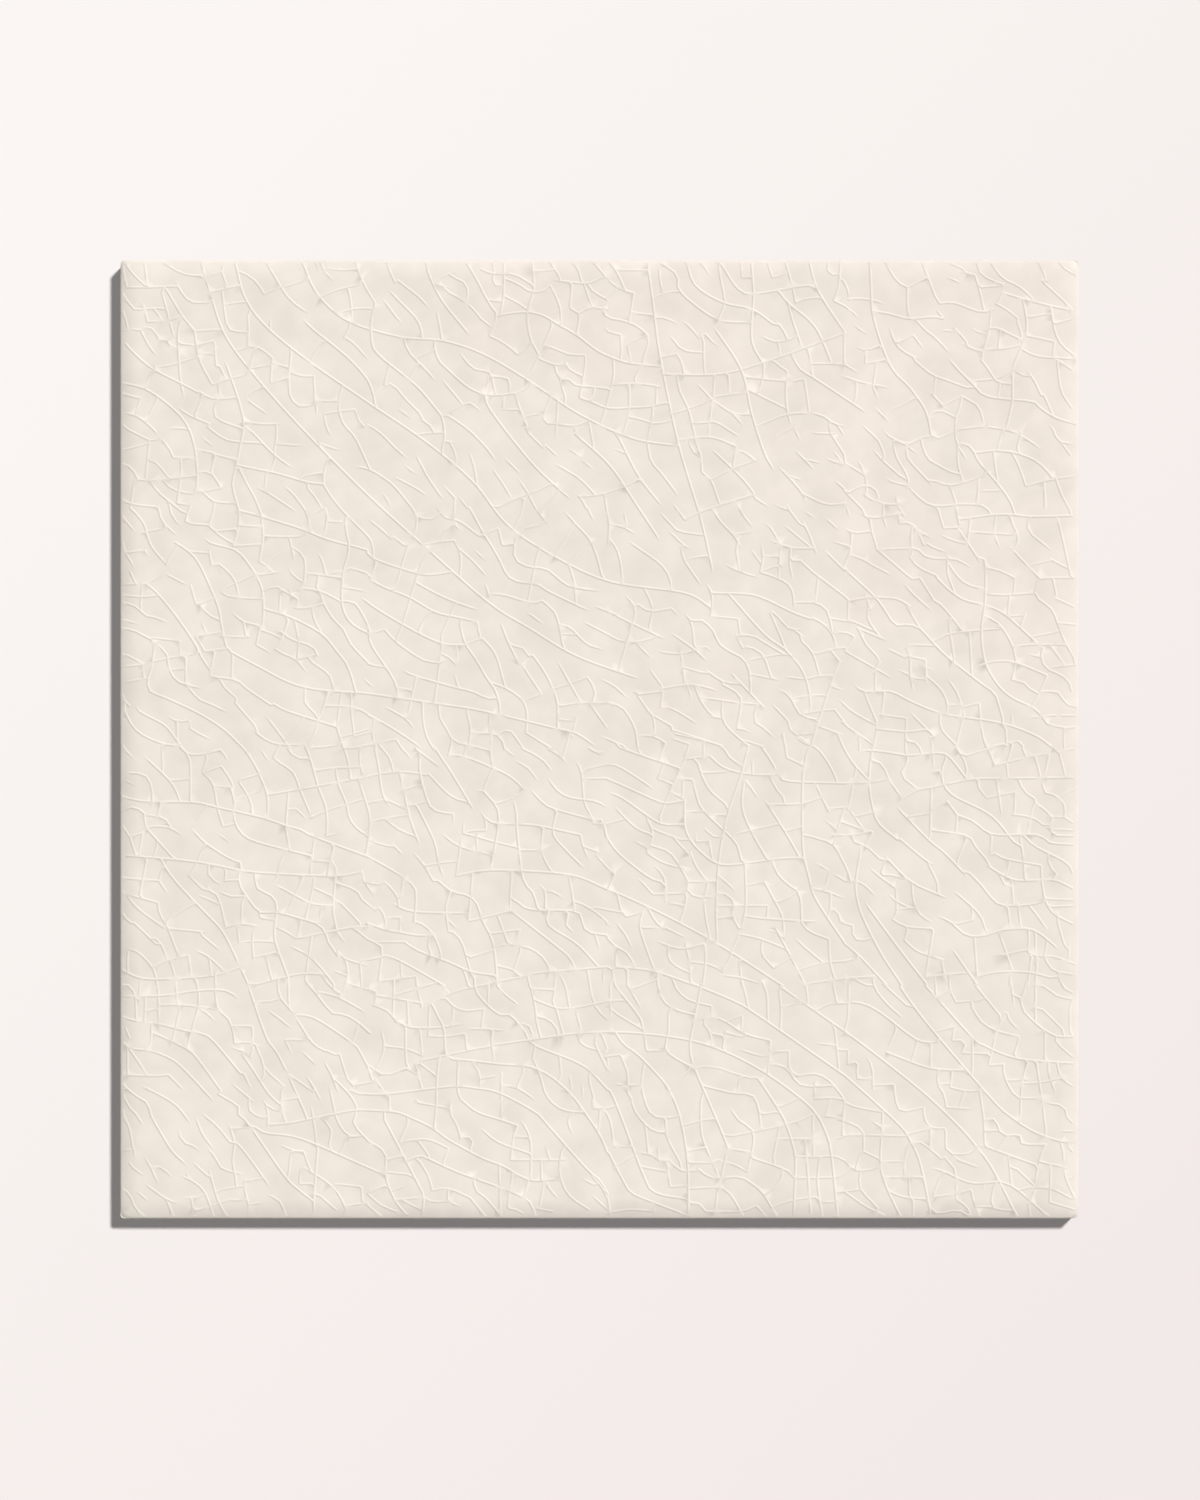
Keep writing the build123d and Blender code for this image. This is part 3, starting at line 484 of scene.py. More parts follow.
996,832; 924,831 924,850 931,866 940,875 964,875; 949,838 943,859 941,899; 958,838 964,878 968,910; 927,857
947,856; 944,860 961,859 982,855; 970,839 972,854 979,871; 980,840 984,854 996,863; 965,880 986,884 991,898
996,901; 900,876 903,898 904,924; 905,898 916,898 918,908 928,915 940,913 943,923 966,924; 905,910 918,909;
899,924 957,945; 968,924 961,940 955,975; 962,942 989,948; 986,921 996,931; 986,931 988,956 998,980; 973,945
972,984; 949,969 973,970 994,980; 938,950 955,966; 929,937 931,957; 924,964 938,971 971,1000; 848,949
861,952 889,964 917,963; 828,922 838,922 859,939; 862,937 872,949; 840,884 841,896 847,906 862,907; 847,908
847,928; 864,903 863,919 866,932 884,934 894,929; 809,861 811,878 817,889 840,885; 855,848 855,861 861,871
864,885; 864,885 891,887; 870,847 868,864; 868,864 885,868 899,867; 855,861 868,860; 882,871 877,885;
876,940 898,948; 760,881 771,885 797,890; 755,899 769,904 777,912 777,931; 777,931 794,939; 745,917 762,914
818,915; 784,898 796,906; 797,901 795,940 799,963 816,1000; 796,942 820,941; 823,928 820,942 820,958;
799,958 838,958; 825,959 825,975; 804,973 820,979 843,981; 758,941 767,950 779,951 792,948; 774,933 769,949;
750,956 767,950; 774,952 774,970 792,990; 748,974 774,971; 760,975 780,989 799,998; 874,958 874,978; 875,982
885,989 889,998; 850,979 875,975 889,971; 889,964 892,982 898,998; 859,954 851,975; 847,990 855,996 875,993
887,998; 913,968 912,989 929,993; 896,989 912,989; 904,963 902,973; 949,986 952,1000; 972,984 998,992;
829,982 829,998; 982,910 996,910; 811,804 803,824; 928,915 920,925; 987,961 996,958; 826,912 848,907
"""


# The square that the courses were read in lies a little inside the tile's outline
READ_SIDE = 0.9974 * SIDE
READ_SHIFT = -0.13 * MM


def linear(hex_code):
    """Linear RGBA of an sRGB colour written as a hex code."""
    channels = [int(hex_code[i:i + 2], 16) / 255 for i in (1, 3, 5)]
    return tuple(c / 12.92 if c <= 0.04045 else ((c + 0.055) / 1.055) ** 2.4 for c in channels) + (1.0,)


class TileSizes(bpy.types.PropertyGroup):
    """Sizes of the pressed tile's rolled edge, as the solid has them."""

    cushion_width: FloatProperty(
        name="Cushion width", description="How far in from a side the face starts to roll down",
        default=2.8 * MM, unit="LENGTH")
    edge_tilt: FloatProperty(
        name="Edge tilt", description="Slope that the cushion reaches at the arris",
        default=math.radians(15), subtype="ANGLE")
    arris_radius: FloatProperty(
        name="Arris radius", description="Radius of the small round between cushion and side",
        default=0.35 * MM, unit="LENGTH")
    corner_radius: FloatProperty(
        name="Corner radius", description="Radius of the upright corners",
        default=0.5 * MM, unit="LENGTH")
    glaze_line: FloatProperty(
        name="Glaze line", description="Height on the sides at which the glaze ends",
        default=2.9 * MM, unit="LENGTH")
    glaze_wave: FloatProperty(
        name="Glaze wave", description="How far the glaze line wanders up and down",
        default=0.45 * MM, unit="LENGTH")


class CrackleSizes(bpy.types.PropertyGroup):
    """Sizes of the raised crackle lines and of the cells between them."""

    ridge_height: FloatProperty(
        name="Ridge height", description="How high a strong crackle line stands above the face",
        default=0.073 * MM, unit="LENGTH")
    ridge_half_width: FloatProperty(
        name="Ridge half width", description="From the crest of a line to its foot",
        default=0.28 * MM, unit="LENGTH")
    station: FloatProperty(
        name="Station", description="Spacing of the points along a crackle line",
        default=1.25 * MM, unit="LENGTH")
    cell_small: FloatProperty(
        name="Small cell", description="Largest gap left to a line where the crackle is close",
        default=2.1 * MM, unit="LENGTH")
    cell_large: FloatProperty(
        name="Large cell", description="Largest gap left to a line where the crackle is open",
        default=3.6 * MM, unit="LENGTH")
    seed: IntProperty(
        name="Seed", description="Number that starts the random draws of the fine crackle", default=7)


class TileColours(bpy.types.PropertyGroup):
    """Colours of the glaze and of the clay body."""

    glaze_warm: FloatVectorProperty(
        name="Warm glaze", description="Rosier ivory of the glaze",
        default=linear("#F0E5DB"), size=4, subtype="COLOR")
    glaze_cool: FloatVectorProperty(
        name="Cool glaze", description="Greener ivory of the glaze",
        default=linear("#ECE5DA"), size=4, subtype="COLOR")
    # Painted shade: share by which the glaze colour is darkened along the rim
    rim_shade: FloatProperty(
        name="Rim shade", description="Light lost along the rim, where the glaze is thin over the clay",
        default=0.05, subtype="FACTOR")
    clay: FloatVectorProperty(
        name="Clay", description="Fired body of the tile",
        default=linear("#DCCFBB"), size=4, subtype="COLOR")
    clay_grit: FloatVectorProperty(
        name="Clay grit", description="Darker grains in the fired body",
        default=linear("#C4B295"), size=4, subtype="COLOR")


class StageSettings(bpy.types.PropertyGroup):
    """Floor colours and lamp levels of the stage."""

    floor_light: FloatVectorProperty(
        name="Floor, upper left", description="Lightest corner of the floor",
        default=linear("#FBF6F3"), size=4, subtype="COLOR")
    floor_dark: FloatVectorProperty(
        name="Floor, lower right", description="Darkest corner of the floor",
        default=linear("#F2EAE8"), size=4, subtype="COLOR")
    key_share: FloatProperty(
        name="Key lamp", description="Share of the floor's light from the high lamp",
        default=0.78, subtype="FACTOR")
    relief_share: FloatProperty(
        name="Relief lamp", description="Share of the floor's light from the low lamp over the relief",
        default=0.14, subtype="FACTOR")
    sky_share: FloatProperty(
        name="Sky", description="Share of the floor's light from all round", default=0.08, subtype="FACTOR")


def smoothstep(value):
    """Eased step from 0 to 1 while the value goes from 0 to 1."""
    value = max(0.0, min(1.0, value))
    return value * value * (3 - 2 * value)


def edge_reach(sizes):
    """How far in from a side the arris ends and the cushion starts."""
    return sizes.arris_radius * (1 - math.sin(sizes.edge_tilt))


def edge_drop(inset, sizes):
    """How far the rolled edge lies below the crown, at a distance in from the side."""
    if inset >= sizes.cushion_width:
        return 0.0
    reach = edge_reach(sizes)
    radius = (sizes.cushion_width - reach) / math.sin(sizes.edge_tilt)
    if inset >= reach:
        run = sizes.cushion_width - inset
        return radius - math.sqrt(radius * radius - run * run)
    run = sizes.arris_radius - max(inset, 0.0)
    arris_height = math.sqrt(sizes.arris_radius ** 2 - run * run)
    arris_drop = sizes.arris_radius * math.cos(sizes.edge_tilt) - arris_height
    return radius * (1 - math.cos(sizes.edge_tilt)) + arris_drop


def inset_of(x, y, sizes):
    """Distance in from the nearest side, eased where two sides meet so that the corner is no crease."""
    ease = sizes.corner_radius
    near, far = sorted((HALF - abs(x), HALF - abs(y)))
    return near - ease * math.log1p(math.exp((near - far) / ease))


def smooth_height(x, y, crown, sizes):
    """Height of the face and its rolled edge, without the crackle."""
    return crown - edge_drop(inset_of(x, y, sizes), sizes)


def face_limit(sizes):
    """Farthest from the middle, along either axis, that a point of the face lies."""
    rim_gap = 0.15 * MM
    return HALF - edge_reach(sizes) - rim_gap


def held_in(x, y, limit):
    """The spot, brought back to the limit of the face where it lies past it."""
    return max(-limit, min(limit, x)), max(-limit, min(limit, y))


def tree_of(numbered_spots):
    """Search tree of spots on the face, each given with its number."""
    tree = KDTree(len(numbered_spots))
    for number, (x, y) in numbered_spots:
        tree.insert((x, y, 0.0), number)
    tree.balance()
    return tree


# Courses of the crackle lines

class CrackField:
    """Map of the face that tells how far each spot lies from the nearest crackle line."""

    PITCH = 0.3 * MM
    WINDOW = 9.0 * MM

    def __init__(self):
        count = int(SIDE / self.PITCH) + 1
        self.axis = np.linspace(-HALF, HALF, count)
        self.distance = np.full((count, count), self.WINDOW)
        self.nearest = np.full((count, count), -1, dtype=int)
        self.stations = []

    def cell(self, x, y):
        """Row and column of the map under a spot of the face."""
        last = len(self.axis) - 1
        column = int(round((x + HALF) / SIDE * last))
        row = int(round((y + HALF) / SIDE * last))
        return min(max(row, 0), last), min(max(column, 0), last)

    def add(self, course):
        """Enters the points of a crackle line into the map."""
        reach = int(self.WINDOW / self.PITCH)
        for x, y in course:
            row, column = self.cell(x, y)
            rows = slice(max(row - reach, 0), row + reach + 1)
            columns = slice(max(column - reach, 0), column + reach + 1)
            gap = np.hypot(self.axis[columns][None, :] - x, self.axis[rows][:, None] - y)
            closer = gap < self.distance[rows, columns]
            self.distance[rows, columns][closer] = gap[closer]
            self.nearest[rows, columns][closer] = len(self.stations)
            self.stations.append((x, y))

    def nearest_station(self, x, y):
        """Gap to the nearest point of a crackle line, and that point."""
        index = self.nearest[self.cell(x, y)]
        if index < 0:
            return self.WINDOW, None
        station = self.stations[index]
        return math.dist((x, y), station), station


class Crack:
    """One crackle line: the points of its crest and how strongly it stands at each of them."""

    FREE_END = 0.7 * MM
    EDGE_FADE = 0.5 * MM

    def __init__(self, course, strength, start_free, end_free):
        self.course = course
        steps = [math.dist(a, b) for a, b in zip(course, course[1:])]
        run = np.concatenate(([0.0], np.cumsum(steps)))
        self.strength = []
        for (x, y), at in zip(course, run):
            level = strength
            if start_free:
                level *= smoothstep(at / self.FREE_END)
            if end_free:
                level *= smoothstep((run[-1] - at) / self.FREE_END)
            edge = HALF - max(abs(x), abs(y))
            self.strength.append(level * smoothstep(edge / self.EDGE_FADE))


def even_course(points, step):
    """Evenly spaced points along a smooth curve through the given points."""
    samples_a_stretch = 10
    knots = np.array([points[0], *points, points[-1]], dtype=float)
    knots[0] = 2 * knots[1] - knots[2]
    knots[-1] = 2 * knots[-2] - knots[-3]
    curve = []
    for before, start, end, after in zip(knots, knots[1:], knots[2:], knots[3:]):
        for t in np.linspace(0, 1, samples_a_stretch, endpoint=False):
            curve.append(0.5 * (2 * start + (end - before) * t
                                + (2 * before - 5 * start + 4 * end - after) * t ** 2
                                + (3 * start - before - 3 * end + after) * t ** 3))
    curve = np.array(curve + [knots[-2]])
    run = np.concatenate(([0.0], np.cumsum(np.hypot(*np.diff(curve, axis=0).T))))
    count = max(2, int(round(run[-1] / step)) + 1)
    at = np.linspace(0, run[-1], count)
    return list(zip(np.interp(at, run, curve[:, 0]), np.interp(at, run, curve[:, 1])))


def meeting_point(tree, stations, number, inner, end):
    """Point of another crack that lies at or just ahead of a crack's end, if there is one."""
    reach = 1.1 * MM
    tolerance = 0.65 * MM
    shares_of_reach = (0.0, 0.33, 0.67, 1.0)
    neighbours = 6
    heading = (Vector(end) - Vector(inner)).normalized()
    for share in shares_of_reach:
        probe = Vector(end) + heading * reach * share
        for _, index, gap in tree.find_n((*probe, 0.0), neighbours):
            owner, spot = stations[index]
            if owner != number and gap < tolerance:
                return spot
    return None


def trimmed(field, course):
    """The course without those ends that only run alongside a line that is already on the map."""
    beside = 0.72 * MM
    # Each end in turn comes first, and the second turn sets the course the right way round again
    for _ in range(2):
        while len(course) > 1 and all(field.nearest_station(*spot)[0] < beside for spot in course[:2]):
            course = course[1:]
        course = course[::-1]
    return course


def noted_cracks(field, crackle, limit):
    """The cracks that were read off the face, each led on to the neighbour that its end comes close to."""
    side_reach = 1.2 * MM
    full_length = 20 * MM
    weakest = 0.82
    courses = []
    stations = []
    for line in CRACK_COURSES.split(";"):
        points = [[int(part) for part in point.split(",")] for point in line.split()]
        spots = [((u / 1000 - 0.5) * READ_SIDE + READ_SHIFT, (0.5 - v / 1000) * READ_SIDE)
                 for u, v in points]
        course = [held_in(x, y, limit) for x, y in even_course(spots, crackle.station)]
        course = trimmed(field, course)
        if len(course) < 2:
            continue
        field.add(course)
        stations.extend((len(courses), spot) for spot in course)
        courses.append(course)
    tree = tree_of([(index, spot) for index, (_, spot) in enumerate(stations)])

    cracks = []
    for number, course in enumerate(courses):
        length = crackle.station * (len(course) - 1)
        lead_in = meeting_point(tree, stations, number, course[1], course[0])
        lead_out = meeting_point(tree, stations, number, course[-2], course[-1])
        free = []
        for spot, lead in ((course[0], lead_in), (course[-1], lead_out)):
            free.append(lead is None and max(abs(spot[0]), abs(spot[1])) < limit - side_reach)
        whole = [spot for spot in (lead_in, *course, lead_out) if spot]
        strength = weakest + (1 - weakest) * smoothstep(length / full_length)
        cracks.append(Crack(whole, strength, *free))
    return cracks


def run_of_crack(field, start, heading, bend, rng, crackle, limit, length):
    """Lets a crack run from a spot until it meets a line, leaves the face or has its length."""
    step = crackle.station
    join = 1.1 * step
    turn_in = 1.6 * MM
    sharpest_swing = 0.5
    swing_share = 0.5
    wander = 0.05
    course = []
    x, y = start
    travelled = 0.0
    while travelled < length:
        gap, station = field.nearest_station(x, y)
        if station and gap < join:
            course.append(station)
            return course, False
        if station and gap < turn_in:
            aim = math.atan2(station[1] - y, station[0] - x)
            swing = math.remainder(aim - heading, math.tau)
            heading += max(-sharpest_swing, min(sharpest_swing, swing)) * swing_share
        heading += bend * step + rng.gauss(0, wander)
        x += step * math.cos(heading)
        y += step * math.sin(heading)
        travelled += step
        if max(abs(x), abs(y)) > limit:
            course.append(held_in(x, y, limit))
            return course, False
        course.append((x, y))
    return course, True


def chord(field, start, heading):
    """Length of the straight run from a spot to the nearest line, one way."""
    probe = 0.45 * MM
    most_probes = 28
    x, y = start
    for count in range(1, most_probes):
        x += probe * math.cos(heading)
        y += probe * math.sin(heading)
        if max(abs(x), abs(y)) > HALF or field.distance[field.cell(x, y)] < probe:
            return count * probe
    return most_probes * probe


def cell_targets(axis, crackle):
    """Largest gap allowed at each spot of the map: patches of close and of open crackle."""
    patch = 26 * MM
    layer = 3.7
    skip = 12
    middle_share, swing = 0.42, 0.75
    coarse = axis[::skip]
    openness = np.array([[noise.noise(Vector((x / patch, y / patch, layer))) for x in coarse]
                         for y in coarse])
    openness = np.repeat(np.repeat(openness, skip, axis=0), skip, axis=1)[:len(axis), :len(axis)]
    share = np.clip(middle_share + swing * openness, 0, 1)
    return crackle.cell_small + (crackle.cell_large - crackle.cell_small) * share


def fine_cracks(field, crackle, limit):
    """Splits the largest cells that are left, one after another, until all are small enough."""
    edge_credit = 1.0 * MM
    most_cracks = 4000
    longest = 40 * MM
    stub_share = 0.28
    stub_lengths_mm = (0.8, 2.0)
    ways = 18
    rng = random.Random(crackle.seed)
    headings = [math.pi * i / ways for i in range(ways)]
    axis = field.axis
    target = cell_targets(axis, crackle)
    edge = np.minimum(HALF - np.abs(axis)[None, :], HALF - np.abs(axis)[:, None])
    cracks = []
    for _ in range(most_cracks):
        score = np.minimum(field.distance, edge + edge_credit) / target
        row, column = np.unravel_index(np.argmax(score), score.shape)
        if score[row, column] < 1:
            break
        start = (axis[column], axis[row])
        chords = [chord(field, start, h) + chord(field, start, h + math.pi) for h in headings]
        best = min(range(len(headings)), key=lambda i: chords[i] * rng.uniform(0.9, 1.1))
        heading = headings[best] + rng.gauss(0, 0.08)
        bend = rng.gauss(0, 0.04) / MM
        lengths = [longest, longest]
        if rng.random() < stub_share:
            lengths[rng.randrange(2)] = rng.uniform(*stub_lengths_mm) * MM
        ahead, ahead_free = run_of_crack(
            field, start, heading, bend, rng, crackle, limit, lengths[0])
        behind, behind_free = run_of_crack(
            field, start, heading + math.pi, -bend, rng, crackle, limit, lengths[1])
        course = behind[::-1] + [start] + ahead
        field.add(course)
        cracks.append(Crack(course, rng.uniform(0.55, 0.95), behind_free, ahead_free))
    return cracks


# The tile's mesh

def inward(point, distance, sizes):
    """The point moved in from the tile's rounded outline by a distance."""
    centre = HALF - sizes.corner_radius
    out = Vector((math.copysign(max(abs(point.x) - centre, 0), point.x),
                  math.copysign(max(abs(point.y) - centre, 0), point.y), 0))
    return point - out.normalized() * distance


def pressed_back(sizes):
    """Copy of the solid's back and lower sides, open along a rim below the glaze line."""
    bm = bmesh.new()
    bm.from_mesh(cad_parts["tile"].data)
    bm.verts.layers.float_vector.new("slope")
    bmesh.ops.remove_doubles(bm, verts=bm.verts[:], dist=0.002 * MM)
    rim_height = sizes.glaze_line - 2 * sizes.glaze_wave
    cut = bmesh.ops.bisect_plane(
        bm, geom=bm.verts[:] + bm.edges[:] + bm.faces[:], dist=0.001 * MM,
        plane_co=(0, 0, rim_height), plane_no=(0, 0, 1), clear_outer=True)
    rim = [e for e in cut["geom_cut"] if isinstance(e, bmesh.types.BMEdge)]
    longest = 0.8 * MM
    alike = 0.9
    size = max(e.calc_length() for e in rim)
    while size > longest:
        group = [e for e in rim if e.calc_length() > max(longest, alike * size)]
        bmesh.ops.subdivide_edges(bm, edges=group, cuts=max(1, math.ceil(size / longest) - 1))
        rim = [e for e in bm.edges if e.is_boundary]
        size = max(e.calc_length() for e in rim)
    return bm, rim


def raise_rim(bm, rim, step_in, height_at, sizes):
    """Extrudes the rim into one more row and returns the new rim."""
    made = bmesh.ops.extrude_edge_only(bm, edges=rim)["geom"]
    for vert in made:
        if isinstance(vert, bmesh.types.BMVert):
            vert.co = inward(vert.co, step_in, sizes)
            vert.co.z = height_at(vert.co)
    return [e for e in made if isinstance(e, bmesh.types.BMEdge) and e.is_boundary]


def glazed_sides(bm, rim, crown, sizes):
    """Rows of the sides: up to the wavy glaze line, up the glazed wall and over the arris."""
    long_wave, short_wave = 9 * MM, 3 * MM
    other_layer = Vector((5, 1, 2))
    arris_rows = 5

    def line_height(co):
        wave = noise.noise(co / long_wave) + 0.5 * noise.noise(co / short_wave + other_layer)
        return sizes.glaze_line + sizes.glaze_wave * wave

    def edge_height(co):
        return smooth_height(co.x, co.y, crown, sizes)

    rim = raise_rim(bm, rim, 0.0, line_height, sizes)
    clay_faces = set(bm.faces)
    rim = raise_rim(bm, rim, 0.0, edge_height, sizes)
    done = 0.0
    for row in range(1, arris_rows + 1):
        turn = (math.pi / 2 - sizes.edge_tilt) * row / arris_rows
        inset = sizes.arris_radius * (1 - math.cos(turn))
        rim = raise_rim(bm, rim, inset - done, edge_height, sizes)
        done = inset
    return rim, clay_faces


class Relief:
    """Heights and slopes of the crackled face, worked out from the crests of its lines."""

    SPACING = 0.15 * MM

    def __init__(self, cracks, crown, sizes, crackle):
        self.crown = crown
        self.sizes = sizes
        self.height = crackle.ridge_height
        self.width = crackle.ridge_half_width
        self.pieces = []
        spots = []
        for crack in cracks:
            ends = list(zip(crack.course, crack.strength))
            for (a, p), (b, q) in zip(ends, ends[1:]):
                count = max(1, math.ceil(math.dist(a, b) / self.SPACING))
                for i in range(count + 1):
                    spots.append((len(self.pieces), np.array(a) + (np.array(b) - a) * i / count))
                self.pieces.append((Vector(a), Vector(b), p, q))
        self.tree = tree_of(spots)

    def base(self, x, y):
        """Height of the face without its crackle."""
        return smooth_height(x, y, self.crown, self.sizes)

    def ridge(self, x, y):
        """Share of the full ridge height at a spot, and the way the ridge falls there."""
        spot = Vector((x, y))
        best, fall = 0.0, Vector((0.0, 0.0))
        near = self.tree.find_range((x, y, 0.0), self.width + self.SPACING)
        for index in {piece for _, piece, _ in near}:
            a, b, p, q = self.pieces[index]
            along = b - a
            if along.length_squared == 0:
                continue
            t = max(0.0, min(1.0, (spot - a).dot(along) / along.length_squared))
            away = spot - a - along * t
            gap = away.length / self.width
            strength = p + (q - p) * t
            share = strength * (0.5 + 0.5 * math.cos(math.pi * gap)) if gap < 1 else 0.0
            if share > best:
                best = share
                steep = strength * 0.5 * math.pi * math.sin(math.pi * gap) / self.width
                fall = away.normalized() * steep
        return best, fall

    def normal(self, x, y, fall):
        """Upright direction of the face at a spot, from the fall of its edge and of its ridge."""
        probe = 0.02 * MM
        rise_x = rise_y = 0.0
        if HALF - max(abs(x), abs(y)) < self.sizes.cushion_width + self.sizes.corner_radius:
            rise_x = (self.base(x + probe, y) - self.base(x - probe, y)) / (2 * probe)
            rise_y = (self.base(x, y + probe) - self.base(x, y - probe)) / (2 * probe)
        slope = Vector((-rise_x, -rise_y, 1.0))
        slope.x += fall.x * self.height
        slope.y += fall.y * self.height
        return slope.normalized()


class FacePoints:
    """Points of the face, and the lines between them that follow the crests, feet and flanks."""

    GRAIN = 0.1 * MM
    CLEAR_SHARE = 0.85
    FILL = 2.1 * MM
    FILL_SHIFT = 0.2
    FILL_CLEAR = 2.2

    def __init__(self, cracks, loop, crackle, limit):
        self.limit = limit
        self.width = crackle.ridge_half_width
        self.points = [(co.x, co.y) for co in loop]
        self.lines = []
        self.taken = set()
        self.footless = set()
        self.add_crests(cracks)
        self.crests = tree_of(list(enumerate(self.points)))
        self.add_end_feet(cracks)
        # The feet of all lines come before their flanks, so that no flank is left without a foot
        for share in (1.0, 0.5):
            for number, crack in enumerate(cracks):
                self.add_rows(number, crack.course, share)
        self.fill_cells(crackle.seed)

    def add_crests(self, cracks):
        """Sets the points of every crest, and one shared point where two of them meet."""
        known = {}
        for crack in cracks:
            indices = []
            for spot in crack.course:
                key = (round(spot[0] / MM, 3), round(spot[1] / MM, 3))
                if key not in known:
                    known[key] = len(self.points)
                    self.points.append(spot)
                indices.append(known[key])
            self.lines.extend((a, b) for a, b in zip(indices, indices[1:]) if a != b)

    def add_point(self, x, y, clear):
        """Sets a point and gives its index, or None where a crest or another point is too close."""
        cell = int(x // self.GRAIN), int(y // self.GRAIN)
        past_limit = max(abs(x), abs(y)) > self.limit
        if past_limit or cell in self.taken or self.crests.find((x, y, 0.0))[2] < clear:
            return None
        self.taken.add(cell)
        self.points.append((x, y))
        return len(self.points) - 1

    def add_end_feet(self, cracks):
        """Sets the foot that lies straight ahead of each end of every crack."""
        for crack in cracks:
            for end, inner in ((0, 1), (-1, -2)):
                ahead = Vector(crack.course[end]) - Vector(crack.course[inner])
                foot = Vector(crack.course[end]) + ahead.normalized() * self.width
                self.add_point(foot.x, foot.y, self.CLEAR_SHARE * self.width)

    def add_rows(self, number, course, share):
        """Sets a row of points on either hand of a crest, at a share of the ridge's half width."""
        row_end = {1: None, -1: None}
        for i, (x, y) in enumerate(course):
            ahead = course[min(i + 1, len(course) - 1)]
            behind = course[max(i - 1, 0)]
            along = Vector((ahead[0] - behind[0], ahead[1] - behind[1]))
            if along.length == 0:
                continue
            across = Vector((-along.y, along.x)).normalized() * self.width * share
            for hand in row_end:
                index = None
                if (number, i, hand) not in self.footless:
                    index = self.add_point(x + hand * across.x, y + hand * across.y,
                                           self.CLEAR_SHARE * self.width * share)
                if index is None:
                    self.footless.add((number, i, hand))
                elif row_end[hand] is not None:
                    self.lines.append((row_end[hand], index))
                row_end[hand] = index

    def fill_cells(self, seed):
        """Sets loosely spread points in the open cells, so that no triangle gets too large."""
        rows = int(SIDE / self.FILL)
        rng = random.Random(seed)
        for i in range(rows):
            for j in range(rows):
                x = -HALF + (i + 0.5 + rng.uniform(-self.FILL_SHIFT, self.FILL_SHIFT)) * SIDE / rows
                y = -HALF + (j + 0.5 + rng.uniform(-self.FILL_SHIFT, self.FILL_SHIFT)) * SIDE / rows
                self.add_point(x, y, self.FILL_CLEAR * self.width)


def crackle_face(bm, rim, cracks, crown, sizes, crackle):
    """Fills the rim with the crackled face: ridges along the cracks and smooth glaze between."""
    loop = sorted({v for e in rim for v in e.verts}, key=lambda v: math.atan2(v.co.y, v.co.x))
    layout = FacePoints(cracks, [v.co for v in loop], crackle, face_limit(sizes))
    ring = list(range(len(loop)))
    flat = [Vector((x / MM, y / MM)) for x, y in layout.points]
    inside_only, merge_mm = 1, 1e-5
    spots, _, faces, origins, _, _ = delaunay_2d_cdt(
        flat, layout.lines, [ring], inside_only, merge_mm, True)

    relief = Relief(cracks, crown, sizes, crackle)
    slope_layer = bm.verts.layers.float_vector["slope"]
    verts = []
    for spot, origin in zip(spots, origins):
        on_loop = [i for i in origin if i < len(loop)]
        if on_loop:
            verts.append(loop[on_loop[0]])
            continue
        x, y = spot.x * MM, spot.y * MM
        share, fall = relief.ridge(x, y)
        vert = bm.verts.new((x, y, relief.base(x, y) + crackle.ridge_height * share))
        vert[slope_layer] = relief.normal(x, y, fall)
        verts.append(vert)
    for face in faces:
        corners = [verts[i] for i in face]
        if len(set(corners)) == 3:
            bm.faces.new(corners)


def tile_mesh(sizes, crackle):
    """Whole mesh of the tile, closed, with the clay faces in material slot 1 and the glaze in slot 0."""
    limit = face_limit(sizes)
    field = CrackField()
    cracks = noted_cracks(field, crackle, limit)
    cracks += fine_cracks(field, crackle, limit)

    crown = TOP - crackle.ridge_height
    bm, rim = pressed_back(sizes)
    rim, clay_faces = glazed_sides(bm, rim, crown, sizes)
    for face in clay_faces:
        face.material_index = 1
    crackle_face(bm, rim, cracks, crown, sizes, crackle)
    bmesh.ops.triangulate(bm, faces=[f for f in bm.faces if len(f.verts) > 3])
    bmesh.ops.recalc_face_normals(bm, faces=bm.faces[:])
    crease = math.radians(30)
    wall_top = crown - edge_drop(0.0, sizes) - sizes.glaze_wave
    for face in bm.faces:
        face.smooth = True
    for edge in bm.edges:
        low = max(v.co.z for v in edge.verts) < wall_top
        edge.smooth = not (low and edge.calc_face_angle(0) > crease)

    mesh = bpy.data.meshes.new("glazed_tile")
    bm.to_mesh(mesh)
    bm.free()
    # The lines are finer than the mesh between them, so the shading takes their exact slope
    slopes = mesh.attributes["slope"]
    mesh.normals_split_custom_set_from_vertices([item.vector[:] for item in slopes.data])
    mesh.attributes.remove(mesh.attributes["slope"])
    return mesh


# Materials

def node(tree, kind, settings=None, **inputs):
    """Adds a node, sets its settings, and sets or links its inputs by name."""
    made = tree.nodes.new(kind)
    for name, value in (settings or {}).items():
        setattr(made, name, value)
    for name, value in inputs.items():
        socket = made.inputs[int(name[1:])] if name[1:].isdigit() else made.inputs[name.replace("_", " ")]
        if isinstance(value, bpy.types.NodeSocket):
            tree.links.new(value, socket)
        else:
            socket.default_value = value
    return made


def new_material(name):
    """Empty node material with its output node."""
    material = bpy.data.materials.new(name)
    material.use_nodes = True
    material.node_tree.nodes.clear()
    return material, material.node_tree, material.node_tree.nodes.new("ShaderNodeOutputMaterial")


